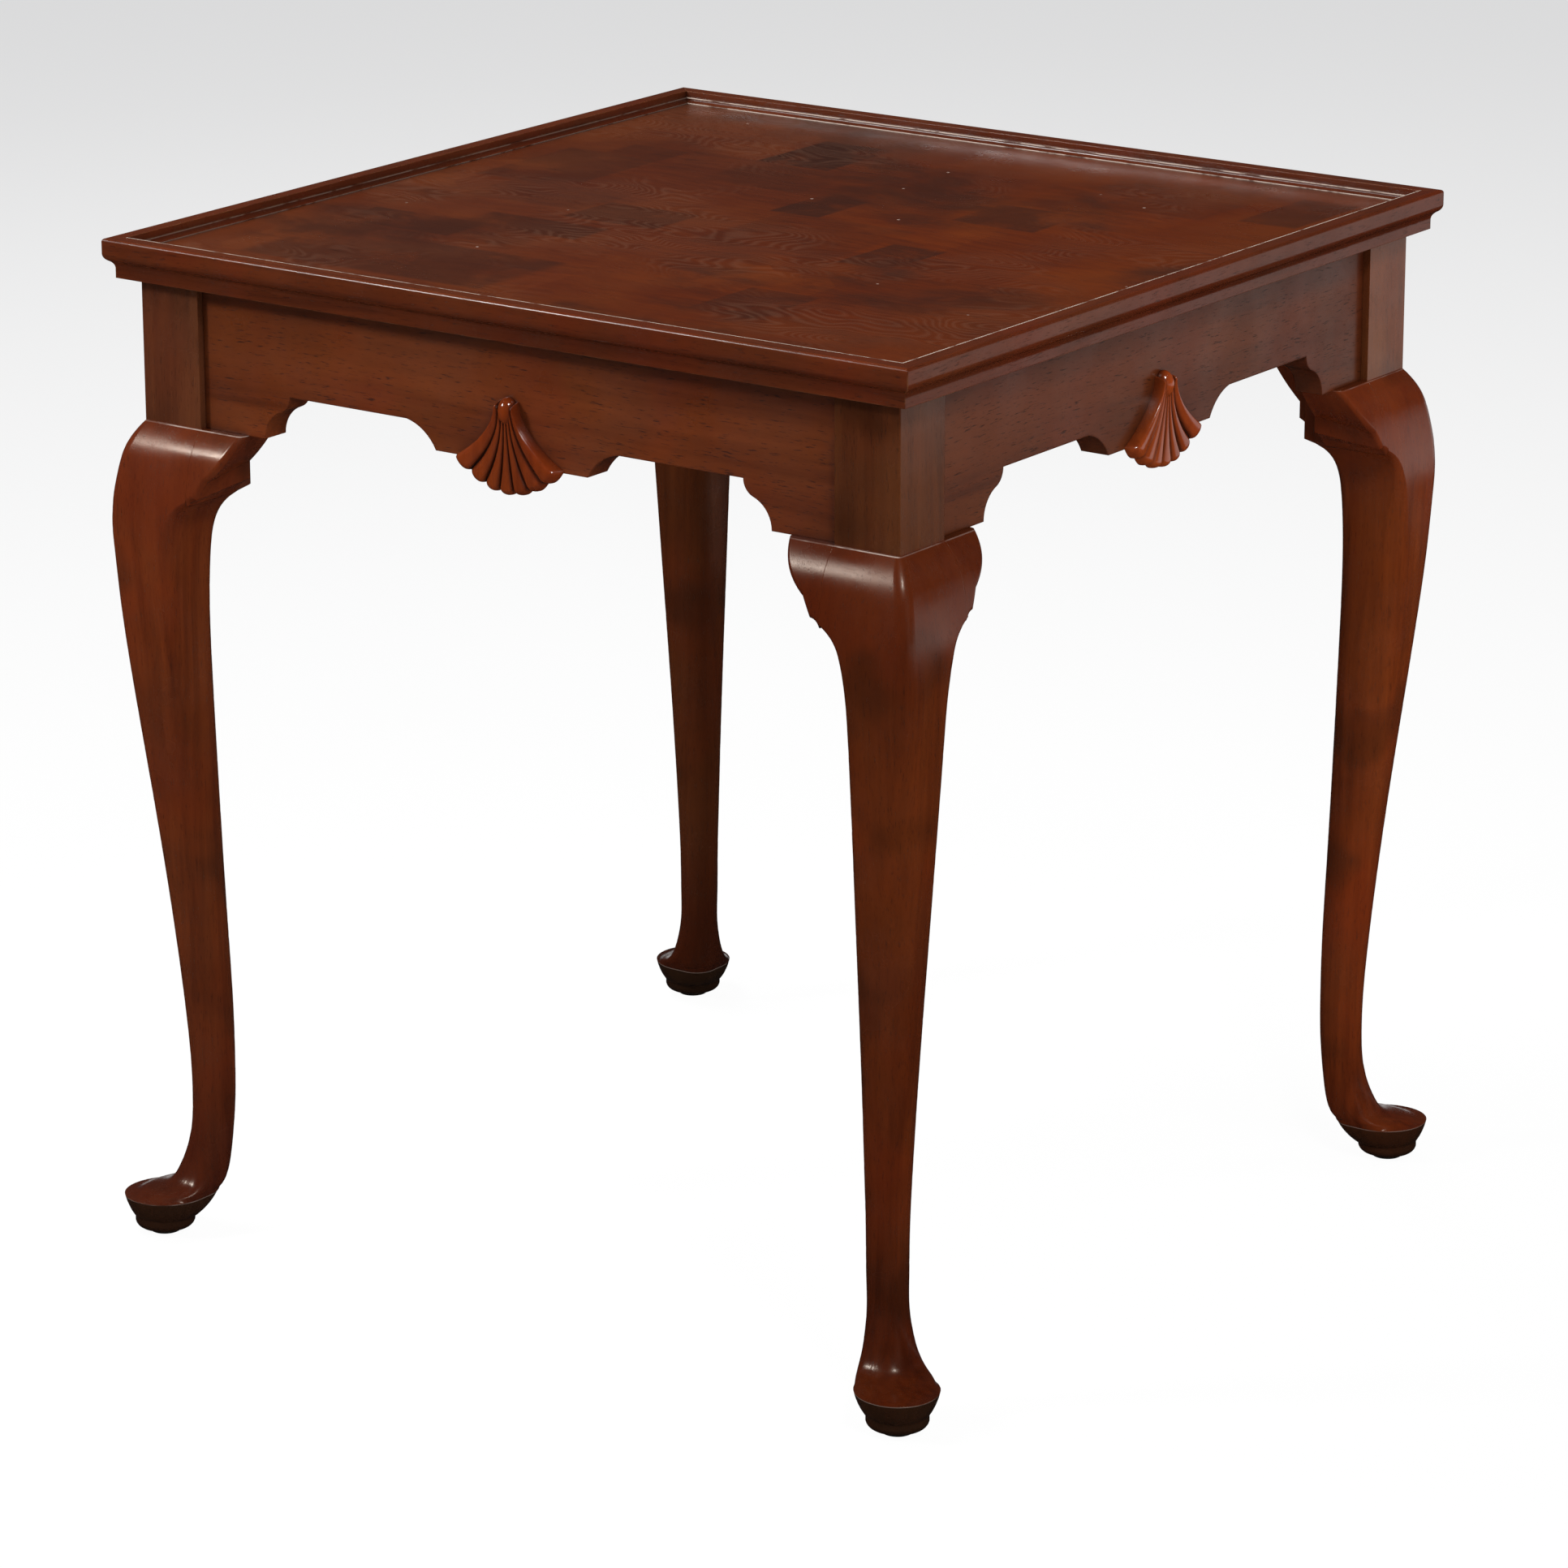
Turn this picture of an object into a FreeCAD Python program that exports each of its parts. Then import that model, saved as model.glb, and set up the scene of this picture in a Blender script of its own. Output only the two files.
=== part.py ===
import FreeCAD, Part
import Sketcher
import math
import os

# Tray top tea table: a square top framed by a moulded gallery, carried on four scalloped
# aprons and four cabriole legs with pad feet, with a carved shell on each apron.
# Millimetres, +Z up, origin on the floor under the middle of the table.
# Front is -Y and right is +X.

V = FreeCAD.Vector
Z_AXIS = V(0, 0, 1)

# --------------------------------------------------------------------------------------
# Driving dimensions: name, value, what it measures
# --------------------------------------------------------------------------------------
DIMENSIONS = [
    ("table_width", 636, "over the gallery, left to right"),
    ("table_depth", 636, "over the gallery, front to back"),
    ("table_height", 690, "floor to the top of the gallery"),
    ("joint_play", 0.2, "clearance round tenons, tongues and inset pieces"),
    # top frame and panel
    ("rim_height", 26.5, "gallery rail, underside to top edge"),
    ("rim_overhang", 17.5, "gallery face beyond the leg posts"),
    ("rim_arris", 2.2, "radius of the rounded top outer edge"),
    ("rim_band", 10, "upright band at the top of the outer face"),
    ("rim_foot_inset", 6.1, "foot of the outer moulding behind the band"),
    ("rim_foot_height", 6.4, "fillet at the foot of the outer moulding"),
    ("rim_ogee_share", 0.5, "share of the outer ogee taken by its upper round"),
    ("rim_flat", 12, "width of the flat top of the gallery"),
    ("rim_splay_run", 0.6, "splay inside the flat, width"),
    ("rim_splay_drop", 4.2, "splay inside the flat, depth"),
    ("rim_bead", 1.0, "width of each little step inside the gallery"),
    ("rim_bead_drop", 0.7, "drop of each little step inside the gallery"),
    ("rim_inner_cove", 2.6, "radius of the inner cove"),
    ("rim_groove_depth", 6, "how far the panel runs into the rail"),
    ("rim_rail_reach", 70, "rail width, outer face to inner edge of its flange"),
    ("panel_thickness", 8, "veneered top panel"),
    ("spline_length", 56, "loose tongue along the mitre"),
    ("spline_width", 24, "loose tongue across the mitre"),
    ("spline_thickness", 3, "loose tongue"),
    ("spline_setback", 12, "tongue from the inner end of the mitre"),
    # posts, aprons and their joints
    ("post_size", 48, "square post at the top of each leg"),
    ("post_arris", 1.2, "softened corner of the post"),
    ("apron_height", 95.5, "posts and aprons, top frame down to the knee"),
    ("apron_recess", 5, "apron face behind the post face"),
    ("apron_thickness", 20.6, "apron board"),
    ("ear_length", 50.5, "level part of the apron beside the post"),
    ("scroll_run", 21.5, "width of the ogee beside the ear"),
    ("scroll_share", 0.36, "share of the ogee taken by its upper round"),
    ("arch_rise", 30.4, "height of the arch above the ear"),
    ("drop_shoulder", 84, "half width of the centre drop where it leaves the arch"),
    ("drop_half", 60.5, "half width of the level bottom of the centre drop"),
    ("drop_height", 12.8, "bottom of the centre drop above the ear"),
    ("drop_radius", 34, "hollow between arch and centre drop"),
    ("tenon_length", 22, "apron tenon"),
    ("tenon_thickness", 9.6, "apron tenon"),
    ("tenon_shoulder", 9, "apron shoulder above and below the tenon"),
    # blocks, cleats and screws behind the aprons
    ("corner_block_reach", 44, "corner block along the apron beyond the post"),
    ("corner_block_height", 26, "corner block"),
    ("corner_block_drop", 12, "corner block below the top frame"),
    ("cleat_length", 300, "cleat under the top frame"),
    ("cleat_size", 19, "square section of the cleat"),
    ("cleat_screw_span", 200, "between the screws of one cleat"),
    ("cleat_screw_offset", 15, "screw into the top from the screw into the apron"),
    ("screw_radius", 2, "shank of the screws"),
    ("screw_head_radius", 4, "countersunk head of the screws"),
    ("screw_head_height", 2.4, "countersunk head of the screws"),
    ("cleat_screw_length", 26, "screws of the cleats"),
    ("corner_screw_length", 36, "screws of the corner blocks"),
    ("corner_screw_reach", 16, "corner block screw from the post"),
    ("corner_screw_cover", 24, "wood of the corner block between screw head and apron"),
    # glides
    ("glide_radius", 10.8, "nail-on glide"),
    ("glide_height", 3.6, "nail-on glide"),
    ("glide_arris", 1.3, "rounded lower edge of the glide"),
    ("nail_radius", 1.3, "nail of the glide"),
    ("nail_length", 15, "nail of the glide"),
    # pad foot
    ("foot_reach", 2.8, "centre of the pad beyond the post faces"),
    ("disc_radius", 20.3, "turned disc under the pad"),
    ("disc_height", 12.6, "floor to the step between disc and pad"),
    ("disc_edge_height", 8, "floor to the start of the disc's rounded underside"),
    ("disc_seat_radius", 13.5, "flat underside of the disc"),
    ("pad_edge_height", 27.5, "floor to the sharp edge of the pad"),
    ("ankle_height", 120, "floor to the top of the ankle"),
    ("calf_depth", 118, "knee line to the calf"),
    # knee blocks
    ("block_top_reach", 83.5, "knee block from the post's outer face, at the top"),
    ("block_waist_reach", 61.6, "knee block at its waist, at the back"),
    ("block_waist_top", 25.6, "waist below the knee line, at the back"),
    ("block_waist_end", 37, "lower corner of the waist below the knee line, at the back"),
    ("block_face_waist", 62, "knee block at its waist, carved away at the front"),
    ("block_face_waist_top", 33, "carved waist below the knee line"),
    ("block_face_corner", 54.4, "lower corner of the carved waist"),
    ("block_face_corner_depth", 44.6, "lower corner of the carved waist below the knee line"),
    ("block_foot_depth", 49, "lowest point of the knee block below the knee line"),
    ("block_face_bulge", 3.8, "roundness of the knee block's lobe at the front"),
    ("block_bulge", 1, "roundness of the knee block's lobe at the back"),
    ("block_hollow", 1.4, "hollow under the knee block's waist"),
    ("block_depth", 32, "back of the knee block behind the post face"),
    ("block_arris", 3.2, "rounded front edge of the knee block"),
    # shell
    ("shell_ribs", 7, "ribs of the carved shell"),
    ("shell_top", 57, "top of the shell above the ear"),
    ("shell_spring", 51, "where the ribs spring from, above the ear"),
    ("shell_spring_half", 4.2, "outermost rib from the middle where it springs"),
    ("shell_half_width", 33.4, "centre of the outermost rib end from the middle"),
    ("shell_tip_height", 11.4, "centre of the outermost rib end above the ear"),
    ("shell_low_height", -0.6, "centre of the middle rib end above the ear"),
    ("shell_rib_end", 7.4, "radius of a rib at its end"),
    ("shell_rib_start", 2.6, "radius of a rib where it springs"),
    ("shell_knob", 7, "radius of the knob at the top"),
    ("shell_knob_forward", 2.2, "centre of the knob in front of the apron"),
    ("shell_relief", 7.5, "ribs in front of the apron, at their ends"),
]

doc = FreeCAD.newDocument("tea_table")
sheet = doc.addObject("Spreadsheet::Sheet", "Sizes")
for row, (name, value, note) in enumerate(DIMENSIONS, start=1):
    sheet.set("A%d" % row, name)
    sheet.set("B%d" % row, str(value))
    sheet.set("C%d" % row, note)
    sheet.setAlias("B%d" % row, name)
doc.recompute()


class Size:
    """A length together with the sheet expression that drives it."""

    def __init__(self, value, text):
        self.value = float(value)
        self.text = text

    def __float__(self):
        return self.value

    def join(self, other, sign, value):
        other_text = other.text if isinstance(other, Size) else repr(other)
        return Size(value, "(%s %s %s)" % (self.text, sign, other_text))

    def __add__(self, other):
        return self.join(other, "+", self.value + float(other))

    def __sub__(self, other):
        return self.join(other, "-", self.value - float(other))

    def __mul__(self, other):
        return self.join(other, "*", self.value * float(other))

    def __truediv__(self, other):
        return self.join(other, "/", self.value / float(other))

    def __neg__(self):
        return Size(-self.value, "(0 - %s)" % self.text)


def size(name):
    return Size(sheet.get(name), "Sizes." + name)


ZERO = Size(0, "0")
play = size("joint_play")
post = size("post_size")
rim_bottom = size("table_height") - size("rim_height")
apron_height = size("apron_height")
knee_line = rim_bottom - apron_height
apron_recess = size("apron_recess")
apron_thickness = size("apron_thickness")
apron_back = apron_recess + apron_thickness
half_width = size("table_width") / 2
half_depth = size("table_depth") / 2
post_x = half_width - size("rim_overhang")
post_y = half_depth - size("rim_overhang")

# A side piece is drawn for the front and turned: name, turn, its half length, its distance out.
SIDES = [
    ("front", 0, half_width, ZERO, -half_depth),
    ("right", 90, half_depth, half_width, ZERO),
    ("back", 180, half_width, ZERO, half_depth),
    ("left", 270, half_depth, -half_width, ZERO),
]
# A corner piece is drawn for the front left corner of the posts and turned: name, turn, place,
# the aprons along its own x and its own y.
CORNERS = [
    ("front_left", 0, -post_x, -post_y, ("front", "left")),
    ("front_right", 90, post_x, -post_y, ("right", "front")),
    ("back_right", 180, post_x, post_y, ("back", "right")),
    ("back_left", 270, -post_x, post_y, ("left", "back")),
]
node_objects = {}


def bind(thing, **values):
    for name, value in values.items():
        thing.setExpression(name, value.text)


def place(thing, x, y, z, turn=0):
    """Put a piece where the sheet says. Turn is degrees about the vertical, or a Rotation."""
    rotation = turn if isinstance(turn, FreeCAD.Rotation) else FreeCAD.Rotation(Z_AXIS, turn)
    thing.Placement = FreeCAD.Placement(V(float(x), float(y), float(z)), rotation)
    thing.setExpression("Placement.Base.x", x.text)
    thing.setExpression("Placement.Base.y", y.text)
    thing.setExpression("Placement.Base.z", z.text)


def node(thing, name):
    thing.Label = name
    node_objects[name] = thing
    return thing


def turned(x, y, turn):
    """Turn a point by a multiple of 90 degrees, keeping its expressions."""
    return {0: (x, y), 90: (-y, x), 180: (-x, -y), 270: (y, -x)}[turn]


def at_corner(corner, x, y):
    """Plan position of a point that is given inwards from a post's outer corner."""
    name, turn, corner_x, corner_y, aprons = corner
    move_x, move_y = turned(x, y, turn)
    return corner_x + move_x, corner_y + move_y


def at_side(side, x, y):
    """Plan position of a point given along a side and inwards from the gallery's face."""
    name, turn, half_length, side_x, side_y = side
    move_x, move_y = turned(x, y, turn)
    return side_x + move_x, side_y + move_y


# --------------------------------------------------------------------------------------
# Sketches, bodies and simple solids
# --------------------------------------------------------------------------------------
def body_plane(body, role):
    return next(item for item in body.Origin.OriginFeatures if item.Role == role)


def three_point_arc(start, end, radius, left):
    """Middle point of an arc that passes to the left or right of the line from start to end."""
    chord = end - start
    half = chord.Length / 2
    rise = radius - math.sqrt(max(radius ** 2 - half ** 2, 0))
    side = V(-chord.y, chord.x, 0).normalize() * (rise if left else -rise)
    return (start + end) / 2 + side


def outline(body, role, name, corners):
    """Closed sketch. Each corner is (x, y) or, where an arc follows, (x, y, radius, left)."""
    sketch = body.newObject("Sketcher::SketchObject", name)
    sketch.AttachmentSupport = [(body_plane(body, role), "")]
    sketch.MapMode = "FlatFace"
    flat = [V(float(corner[0]), float(corner[1]), 0) for corner in corners]
    count = len(corners)
    for index, corner in enumerate(corners):
        start, end = flat[index], flat[(index + 1) % count]
        if len(corner) == 2:
            sketch.addGeometry(Part.LineSegment(start, end), False)
        else:
            middle = three_point_arc(start, end, float(corner[2]), corner[3])
            sketch.addGeometry(Part.Arc(start, middle, end), False)
    for index, corner in enumerate(corners):
        constrain_corner(sketch, index, count, corners, flat)
    return sketch


def constrain_corner(sketch, index, count, corners, flat):
    first = start_point(sketch, index, flat[index])
    before = (index - 1) % count
    last = 3 - start_point(sketch, before, flat[before])
    sketch.addConstraint(Sketcher.Constraint("Coincident", before, last, index, first))
    for kind, value in (("DistanceX", corners[index][0]), ("DistanceY", corners[index][1])):
        number = sketch.addConstraint(Sketcher.Constraint(kind, -1, 1, index, first, float(value)))
        sketch.setExpression("Constraints[%d]" % number, value.text)
    if len(corners[index]) > 2:
        radius = corners[index][2]
        number = sketch.addConstraint(Sketcher.Constraint("Radius", index, float(radius)))
        sketch.setExpression("Constraints[%d]" % number, radius.text)


def start_point(sketch, index, corner):
    """Sketch arcs run anticlockwise, so an edge's first corner can be its point 1 or 2."""
    return 1 if sketch.getPoint(index, 1).distanceToPoint(corner) < 1e-6 else 2


def pad(body, sketch, name, length, reverse=False, symmetric=False):
    feature = body.newObject("PartDesign::Pad", name)
    feature.Profile = sketch
    feature.Reversed = reverse
    feature.SideType = "Symmetric" if symmetric else "One side"
    bind(feature, Length=length)
    sketch.Visibility = False
    return feature


def box(name, width, depth, height, x, y, z, turn=0):
    """A box whose lowest corner is at x, y, z before it is turned about that corner."""
    thing = doc.addObject("Part::Box", name)
    bind(thing, Length=width, Width=depth, Height=height)
    place(thing, x, y, z, turn)
    return thing


def cut(name, base, tools):
    tool = tools[0]
    if len(tools) > 1:
        tool = doc.addObject("Part::MultiFuse", name + "_cutters")
        tool.Shapes = tools
    thing = doc.addObject("Part::Cut", name)
    thing.Base = base
    thing.Tool = tool
    return thing


def group(name, solids):
    thing = doc.addObject("Part::Compound", name)
    thing.Links = solids
    return node(thing, name)


def feature_from_shape(name, shape, x, y, turn):
    thing = doc.addObject("Part::Feature", name)
    thing.Shape = shape
    place(thing, x, y, ZERO, turn)
    return node(thing, name)


def ogee(x, y, run, rise, share, left):
    """Two arcs, upright at both ends, that step sideways by run and up by rise.

    Returns the start corner and the corner between the arcs, ready for outline().
    """
    whole = (run * run + rise * rise) / (run * 2)
    first = (x, y, whole * share, left)
    second = (x + run * share, y + rise * share, whole * (Size(1, "1") - share), not left)
    return [first, second]


# --------------------------------------------------------------------------------------
# Gallery rails: moulded lengths, mitred at the corners, grooved for the panel
# --------------------------------------------------------------------------------------
rail_height = size("rim_height")
rail_reach = size("rim_rail_reach")
lip_inner = size("rim_flat") + size("rim_splay_run") + size("rim_bead") * 2 + size("rim_inner_cove")
panel_depth = size("rim_splay_drop") + size("rim_bead_drop") * 2 + size("rim_inner_cove")
groove_inset = lip_inner - size("rim_groove_depth")
panel_top = rail_height - panel_depth
flange_height = panel_top - size("panel_thickness")


def rail_profile():
    """Section of a rail: inwards from its outer face, upwards from its underside."""
    one = Size(1, "1")
    foot_inset, foot_height = size("rim_foot_inset"), size("rim_foot_height")
    arris, band = size("rim_arris"), size("rim_band")
    flat, splay_run, splay_drop = size("rim_flat"), size("rim_splay_run"), size("rim_splay_drop")
    bead, bead_drop, inner_cove = size("rim_bead"), size("rim_bead_drop"), size("rim_inner_cove")
    outer_ogee = ogee(foot_inset, foot_height, -foot_inset, rail_height - band - foot_height,
                      one - size("rim_ogee_share"), False)
    outer_ogee = [(x, y, radius_of(radius), left) for x, y, radius, left in outer_ogee]
    splay_x, splay_y = flat + splay_run, rail_height - splay_drop
    second_x, second_y = splay_x + bead, splay_y - bead_drop
    return [
        (foot_inset, ZERO),
        *outer_ogee,
        (ZERO, rail_height - band),
        (ZERO, rail_height - arris, arris, True),
        (arris, rail_height),
        (flat, rail_height),
        (splay_x, splay_y),
        (second_x, splay_y),
        (second_x, second_y, inner_cove, False),
        (second_x + inner_cove, second_y - inner_cove),
        (lip_inner, second_y - inner_cove),
        (lip_inner, panel_top),
        (groove_inset, panel_top),
        (groove_inset, flange_height),
        (rail_reach, flange_height),
        (rail_reach, ZERO),
    ]


def radius_of(signed):
    return signed if signed.value > 0 else -signed


def mitre(body, half_length, end):
    """Cut one end of a rail at 45 degrees; end is -1 or 1."""
    tip = half_length * end
    far = rail_reach + size("rim_band")
    corners = [(tip, ZERO), (tip - far * end, far), (tip, far)]
    triangle = outline(body, "XY_Plane", "mitre_plan", corners)
    pocket = body.newObject("PartDesign::Pocket", "mitre_cut")
    pocket.Profile = triangle
    pocket.Reversed = True
    pocket.Type = "ThroughAll"
    triangle.Visibility = False


def make_rail(side):
    name, turn, half_length, side_x, side_y = side
    body = doc.addObject("PartDesign::Body", "rim_body_" + name)
    section = outline(body, "YZ_Plane", "rail_section", rail_profile())
    pad(body, section, "rail", half_length * 2, symmetric=True)
    for end in (-1, 1):
        mitre(body, half_length, end)
    place(body, side_x, side_y, rim_bottom, turn)
    return body


def spline_box(corner, grown, name):
    """Loose tongue lying across a mitre, centred in the thickness of the flange."""
    turn = corner[1]
    length = size("spline_length") + grown * 2
    width = size("spline_width") + grown * 2
    thickness = size("spline_thickness") + grown * 2
    half_root = math.sqrt(0.5)
    inner = rail_reach - size("rim_overhang") - size("spline_setback") * half_root + grown * half_root
    start = inner - length * half_root
    x, y = start + width * (half_root / 2), start - width * (half_root / 2)
    base_x, base_y = at_corner(corner, x, y)
    base_z = rim_bottom + (flange_height - thickness) / 2
    return box(name, length, width, thickness, base_x, base_y, base_z, turn + 45)


def make_top():
    slots = {corner[0]: spline_box(corner, play, "spline_slot_" + corner[0]) for corner in CORNERS}
    ends = {"front": ("front_left", "front_right"), "right": ("front_right", "back_right"),
            "back": ("back_right", "back_left"), "left": ("back_left", "front_left")}
    for side in SIDES:
        rail = make_rail(side)
        tools = [slots[name] for name in ends[side[0]]]
        for number, spot in enumerate(cleat_spots(side)[0]):
            tools += screw_hole("rail_hole_%s_%d" % (side[0], number), spot, size("cleat_screw_length"))
        node(cut("rim_" + side[0], rail, tools), "rim_" + side[0])
    group("mitre_splines", [spline_box(corner, ZERO, "mitre_spline_" + corner[0]) for corner in CORNERS])
    inset = groove_inset + play
    panel = box("top_panel", (half_width - inset) * 2, (half_depth - inset) * 2, size("panel_thickness"),
                inset - half_width, inset - half_depth, rim_bottom + flange_height)
    node(panel, "top_panel")


# --------------------------------------------------------------------------------------
# Aprons: boards with a scalloped lower edge and a tenon at each end
# --------------------------------------------------------------------------------------
tenon_length = size("tenon_length")
tenon_thickness = size("tenon_thickness")
tenon_shoulder = size("tenon_shoulder")
tenon_front = apron_recess + (apron_thickness - tenon_thickness) / 2
tenon_height = apron_height - tenon_shoulder * 2


def apron_edge(half_length):
    """Lower edge from the left post to the right one, upwards from the ear."""
    run, rise, share = size("scroll_run"), size("arch_rise"), size("scroll_share")
    ear = half_length - size("ear_length")
    lower = Size(1, "1") - share
    whole = (run * run + rise * rise) / (run * 2)
    radius = size("drop_radius")
    shoulder, half, height = size("drop_shoulder"), size("drop_half"), size("drop_height")
    return [
        (-half_length, ZERO),
        (-ear, ZERO, whole * lower, True),
        (-ear + run * lower, rise * lower, whole * share, False),
        (-ear + run, rise),
        (-shoulder, rise, radius, True),
        (-half, height),
        (half, height, radius, True),
        (shoulder, rise),
        (ear - run, rise, whole * share, False),
        (ear - run * lower, rise * lower, whole * lower, True),
        (ear, ZERO),
        (half_length, ZERO),
    ]


def make_apron(side):
    name, turn, half_length, side_x, side_y = side
    between_posts = half_length - size("rim_overhang") - post
    body = doc.addObject("PartDesign::Body", "apron_board_" + name)
    top = [(between_posts, apron_height), (-between_posts, apron_height)]
    board = outline(body, "XZ_Plane", "board_outline", apron_edge(between_posts) + top)
    board.setExpression("AttachmentOffset.Base.z", (-apron_recess).text)
    pad(body, board, "board", apron_thickness, reverse=True)
    for end in (-1, 1):
        shoulder = between_posts * end
        tip = shoulder + tenon_length * end
        low, high = tenon_shoulder, apron_height - tenon_shoulder
        corners = [(shoulder, low), (tip, low), (tip, high), (shoulder, high)]
        tenon = outline(body, "XZ_Plane", "tenon_outline", corners)
        tenon.setExpression("AttachmentOffset.Base.z", (-tenon_front).text)
        pad(body, tenon, "tenon", tenon_thickness, reverse=True)
    x, y = at_side(side, ZERO, size("rim_overhang"))
    place(body, x, y, knee_line, turn)
    holes = []
    for number, spot in enumerate(cleat_spots(side)[1]):
        holes += screw_hole("apron_hole_%s_%d" % (name, number), spot, size("cleat_screw_length"))
    for corner in CORNERS:
        for apron, spot in corner_spots(corner):
            if apron == name:
                holes += screw_hole("apron_hole_%s_%s" % (name, corner[0]), spot, size("corner_screw_length"))
    node(cut("apron_" + name, body, holes), "apron_" + name)


# --------------------------------------------------------------------------------------
# Cabriole legs. A leg is drawn from its post's outer corner: x and y run inwards.
# The blank is sawn to the same two curves on both outer faces and then rounded.
# --------------------------------------------------------------------------------------
# Front is how far the sawn face stands outside the post's face, back is where the inner
# face lies behind the post's face, and the radii round the section's corners.
# A taller table gets a longer shank, and its foot and knee keep their shape.
FOOT_STATIONS = [
    # above the pad's edge, front, back, outer radius, side radius, inner radius
    (0, 29.6, 26.9, 26, 30.0, 14),
    (2.5, 19.4, 28.4, 22.6, 21.2, 15.5),
    (5.5, 9.4, 30.0, 19.6, 12.6, 15),
    (9, 3.8, 31.2, 16.4, 10.2, 14.4),
    (14.5, 0.4, 32.4, 14.4, 11.8, 14),
    (24.5, -3.2, 33.6, 13.4, 13.6, 13.4),
    (42.5, -7.0, 35.0, 12.8, 15.0, 12.8),
    (62.5, -8.2, 36.2, 12.8, 15.0, 12.8),
]
SHANK_STATIONS = [
    # part of the way from the ankle to the calf
    (0.00, -8.0, 36.8, 13, 15.6, 13),
    (0.10, -6.2, 37.0, 14, 16.6, 14),
    (0.28, -1.6, 36.2, 16, 17.2, 16),
    (0.46, 3.6, 35.0, 17, 17, 17),
    (0.64, 9.1, 33.7, 16.8, 16.6, 16.8),
    (0.82, 14.2, 32.1, 15, 15, 15),
    (1.00, 18.2, 31.0, 12.5, 12, 12),
]
KNEE_STATIONS = [
    # below the knee line
    (88, 19.4, 31.3, 11, 9, 9),
    (70, 19.8, 32.8, 10, 6, 7),
    (58, 19.3, 36.6, 9.6, 4.5, 5),
    (50, 18.6, 43.6, 9.3, 4, 4),
    (44, 17.8, 54.0, 9.2, 4, 4),
    (36, 16.5, 70.0, 9, 4, 4),
    (27, 14.7, 82.0, 8.6, 4, 4),
    (16, 11.4, 92.0, 8, 4, 4),
    (6, 5.6, 95.0, 6, 4, 4),
    (0, 0.4, 95.0, 3, 4, 4),
]
KNEE_SPARE = 1.5  # blank in front of the knee's finished face
UNDERSIDE_STATIONS = [
    # part of the way from the turned disc up to the pad's edge
    (0.0, 23.4, 19.2, 19.6, 22.0, 18),
    (0.5, 27.3, 24.3, 23.6, 27.2, 16.6),
    (1.0, 29.6, 26.9, 26, 30.0, 14),
]


def leg_stations():
    edge, ankle = float(size("pad_edge_height")), float(size("ankle_height"))
    knee = float(knee_line)
    calf = knee - float(size("calf_depth"))
    foot_part = [(edge + rise, *rest) for rise, *rest in FOOT_STATIONS]
    shank_part = [(ankle + part * (calf - ankle), *rest) for part, *rest in SHANK_STATIONS]
    knee_part = [(knee - depth, *rest) for depth, *rest in KNEE_STATIONS]
    return foot_part + shank_part + knee_part


def underside_stations():
    low, high = float(size("disc_height")), float(size("pad_edge_height"))
    return [(low + part * (high - low), *rest) for part, *rest in UNDERSIDE_STATIONS]


def leg_section(height, front, back, outer, side, inner):
    """Rounded square section of a leg: four corner arcs joined by four straight edges."""
    corners = [  # place, direction of travel away from it, direction of arrival, radius
        (V(-front, -front, height), V(1, 0, 0), V(0, 1, 0), outer),
        (V(back, -front, height), V(0, 1, 0), V(-1, 0, 0), side),
        (V(back, back, height), V(-1, 0, 0), V(0, -1, 0), inner),
        (V(-front, back, height), V(0, -1, 0), V(1, 0, 0), side),
    ]
    inset = 1 - math.sqrt(0.5)
    arcs = []
    for place_, leave, arrive, radius in corners:
        middle = place_ + (leave + arrive) * (inset * radius)
        arcs.append((place_ + arrive * radius, middle, place_ + leave * radius))
    edges = []
    for index, (start, middle, end) in enumerate(arcs):
        edges.append(Part.Arc(start, middle, end).toShape())
        edges.append(Part.LineSegment(end, arcs[(index + 1) % 4][0]).toShape())
    return Part.Wire(edges)


def carved_solid():
    """The whole leg below the post: one skin over the shank and one under the pad."""
    upper = [leg_section(*station) for station in leg_stations()]
    lower = [leg_section(*station) for station in underside_stations()]
    skins = [Part.makeLoft(sections, False, False) for sections in (upper, lower)]
    caps = [Part.Face(upper[-1]), Part.Face(lower[0])]
    shell = Part.makeShell(skins[0].Faces + skins[1].Faces + caps)
    shell.sewShape()
    return Part.makeSolid(shell)


def turned_disc():
    """Disc under the pad, drilled for the glide's nail."""
    radius, seat_radius = float(size("disc_radius")), float(size("disc_seat_radius"))
    seat, edge, top = (float(size(name)) for name in ("glide_height", "disc_edge_height", "disc_height"))
    middle = V(seat_radius + (radius - seat_radius) * 0.75, 0, seat + (edge - seat) * 0.32)
    profile = [
        Part.LineSegment(V(0, 0, seat), V(seat_radius, 0, seat)),
        Part.Arc(V(seat_radius, 0, seat), middle, V(radius, 0, edge)),
        Part.LineSegment(V(radius, 0, edge), V(radius, 0, top)),
        Part.LineSegment(V(radius, 0, top), V(0, 0, top)),
        Part.LineSegment(V(0, 0, top), V(0, 0, seat)),
    ]
    face = Part.Face(Part.Wire([edge_.toShape() for edge_ in profile]))
    disc = face.revolve(V(0, 0, 0), Z_AXIS, 360)
    reach = float(size("foot_reach"))
    disc.translate(V(-reach, -reach, 0))
    return disc


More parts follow.
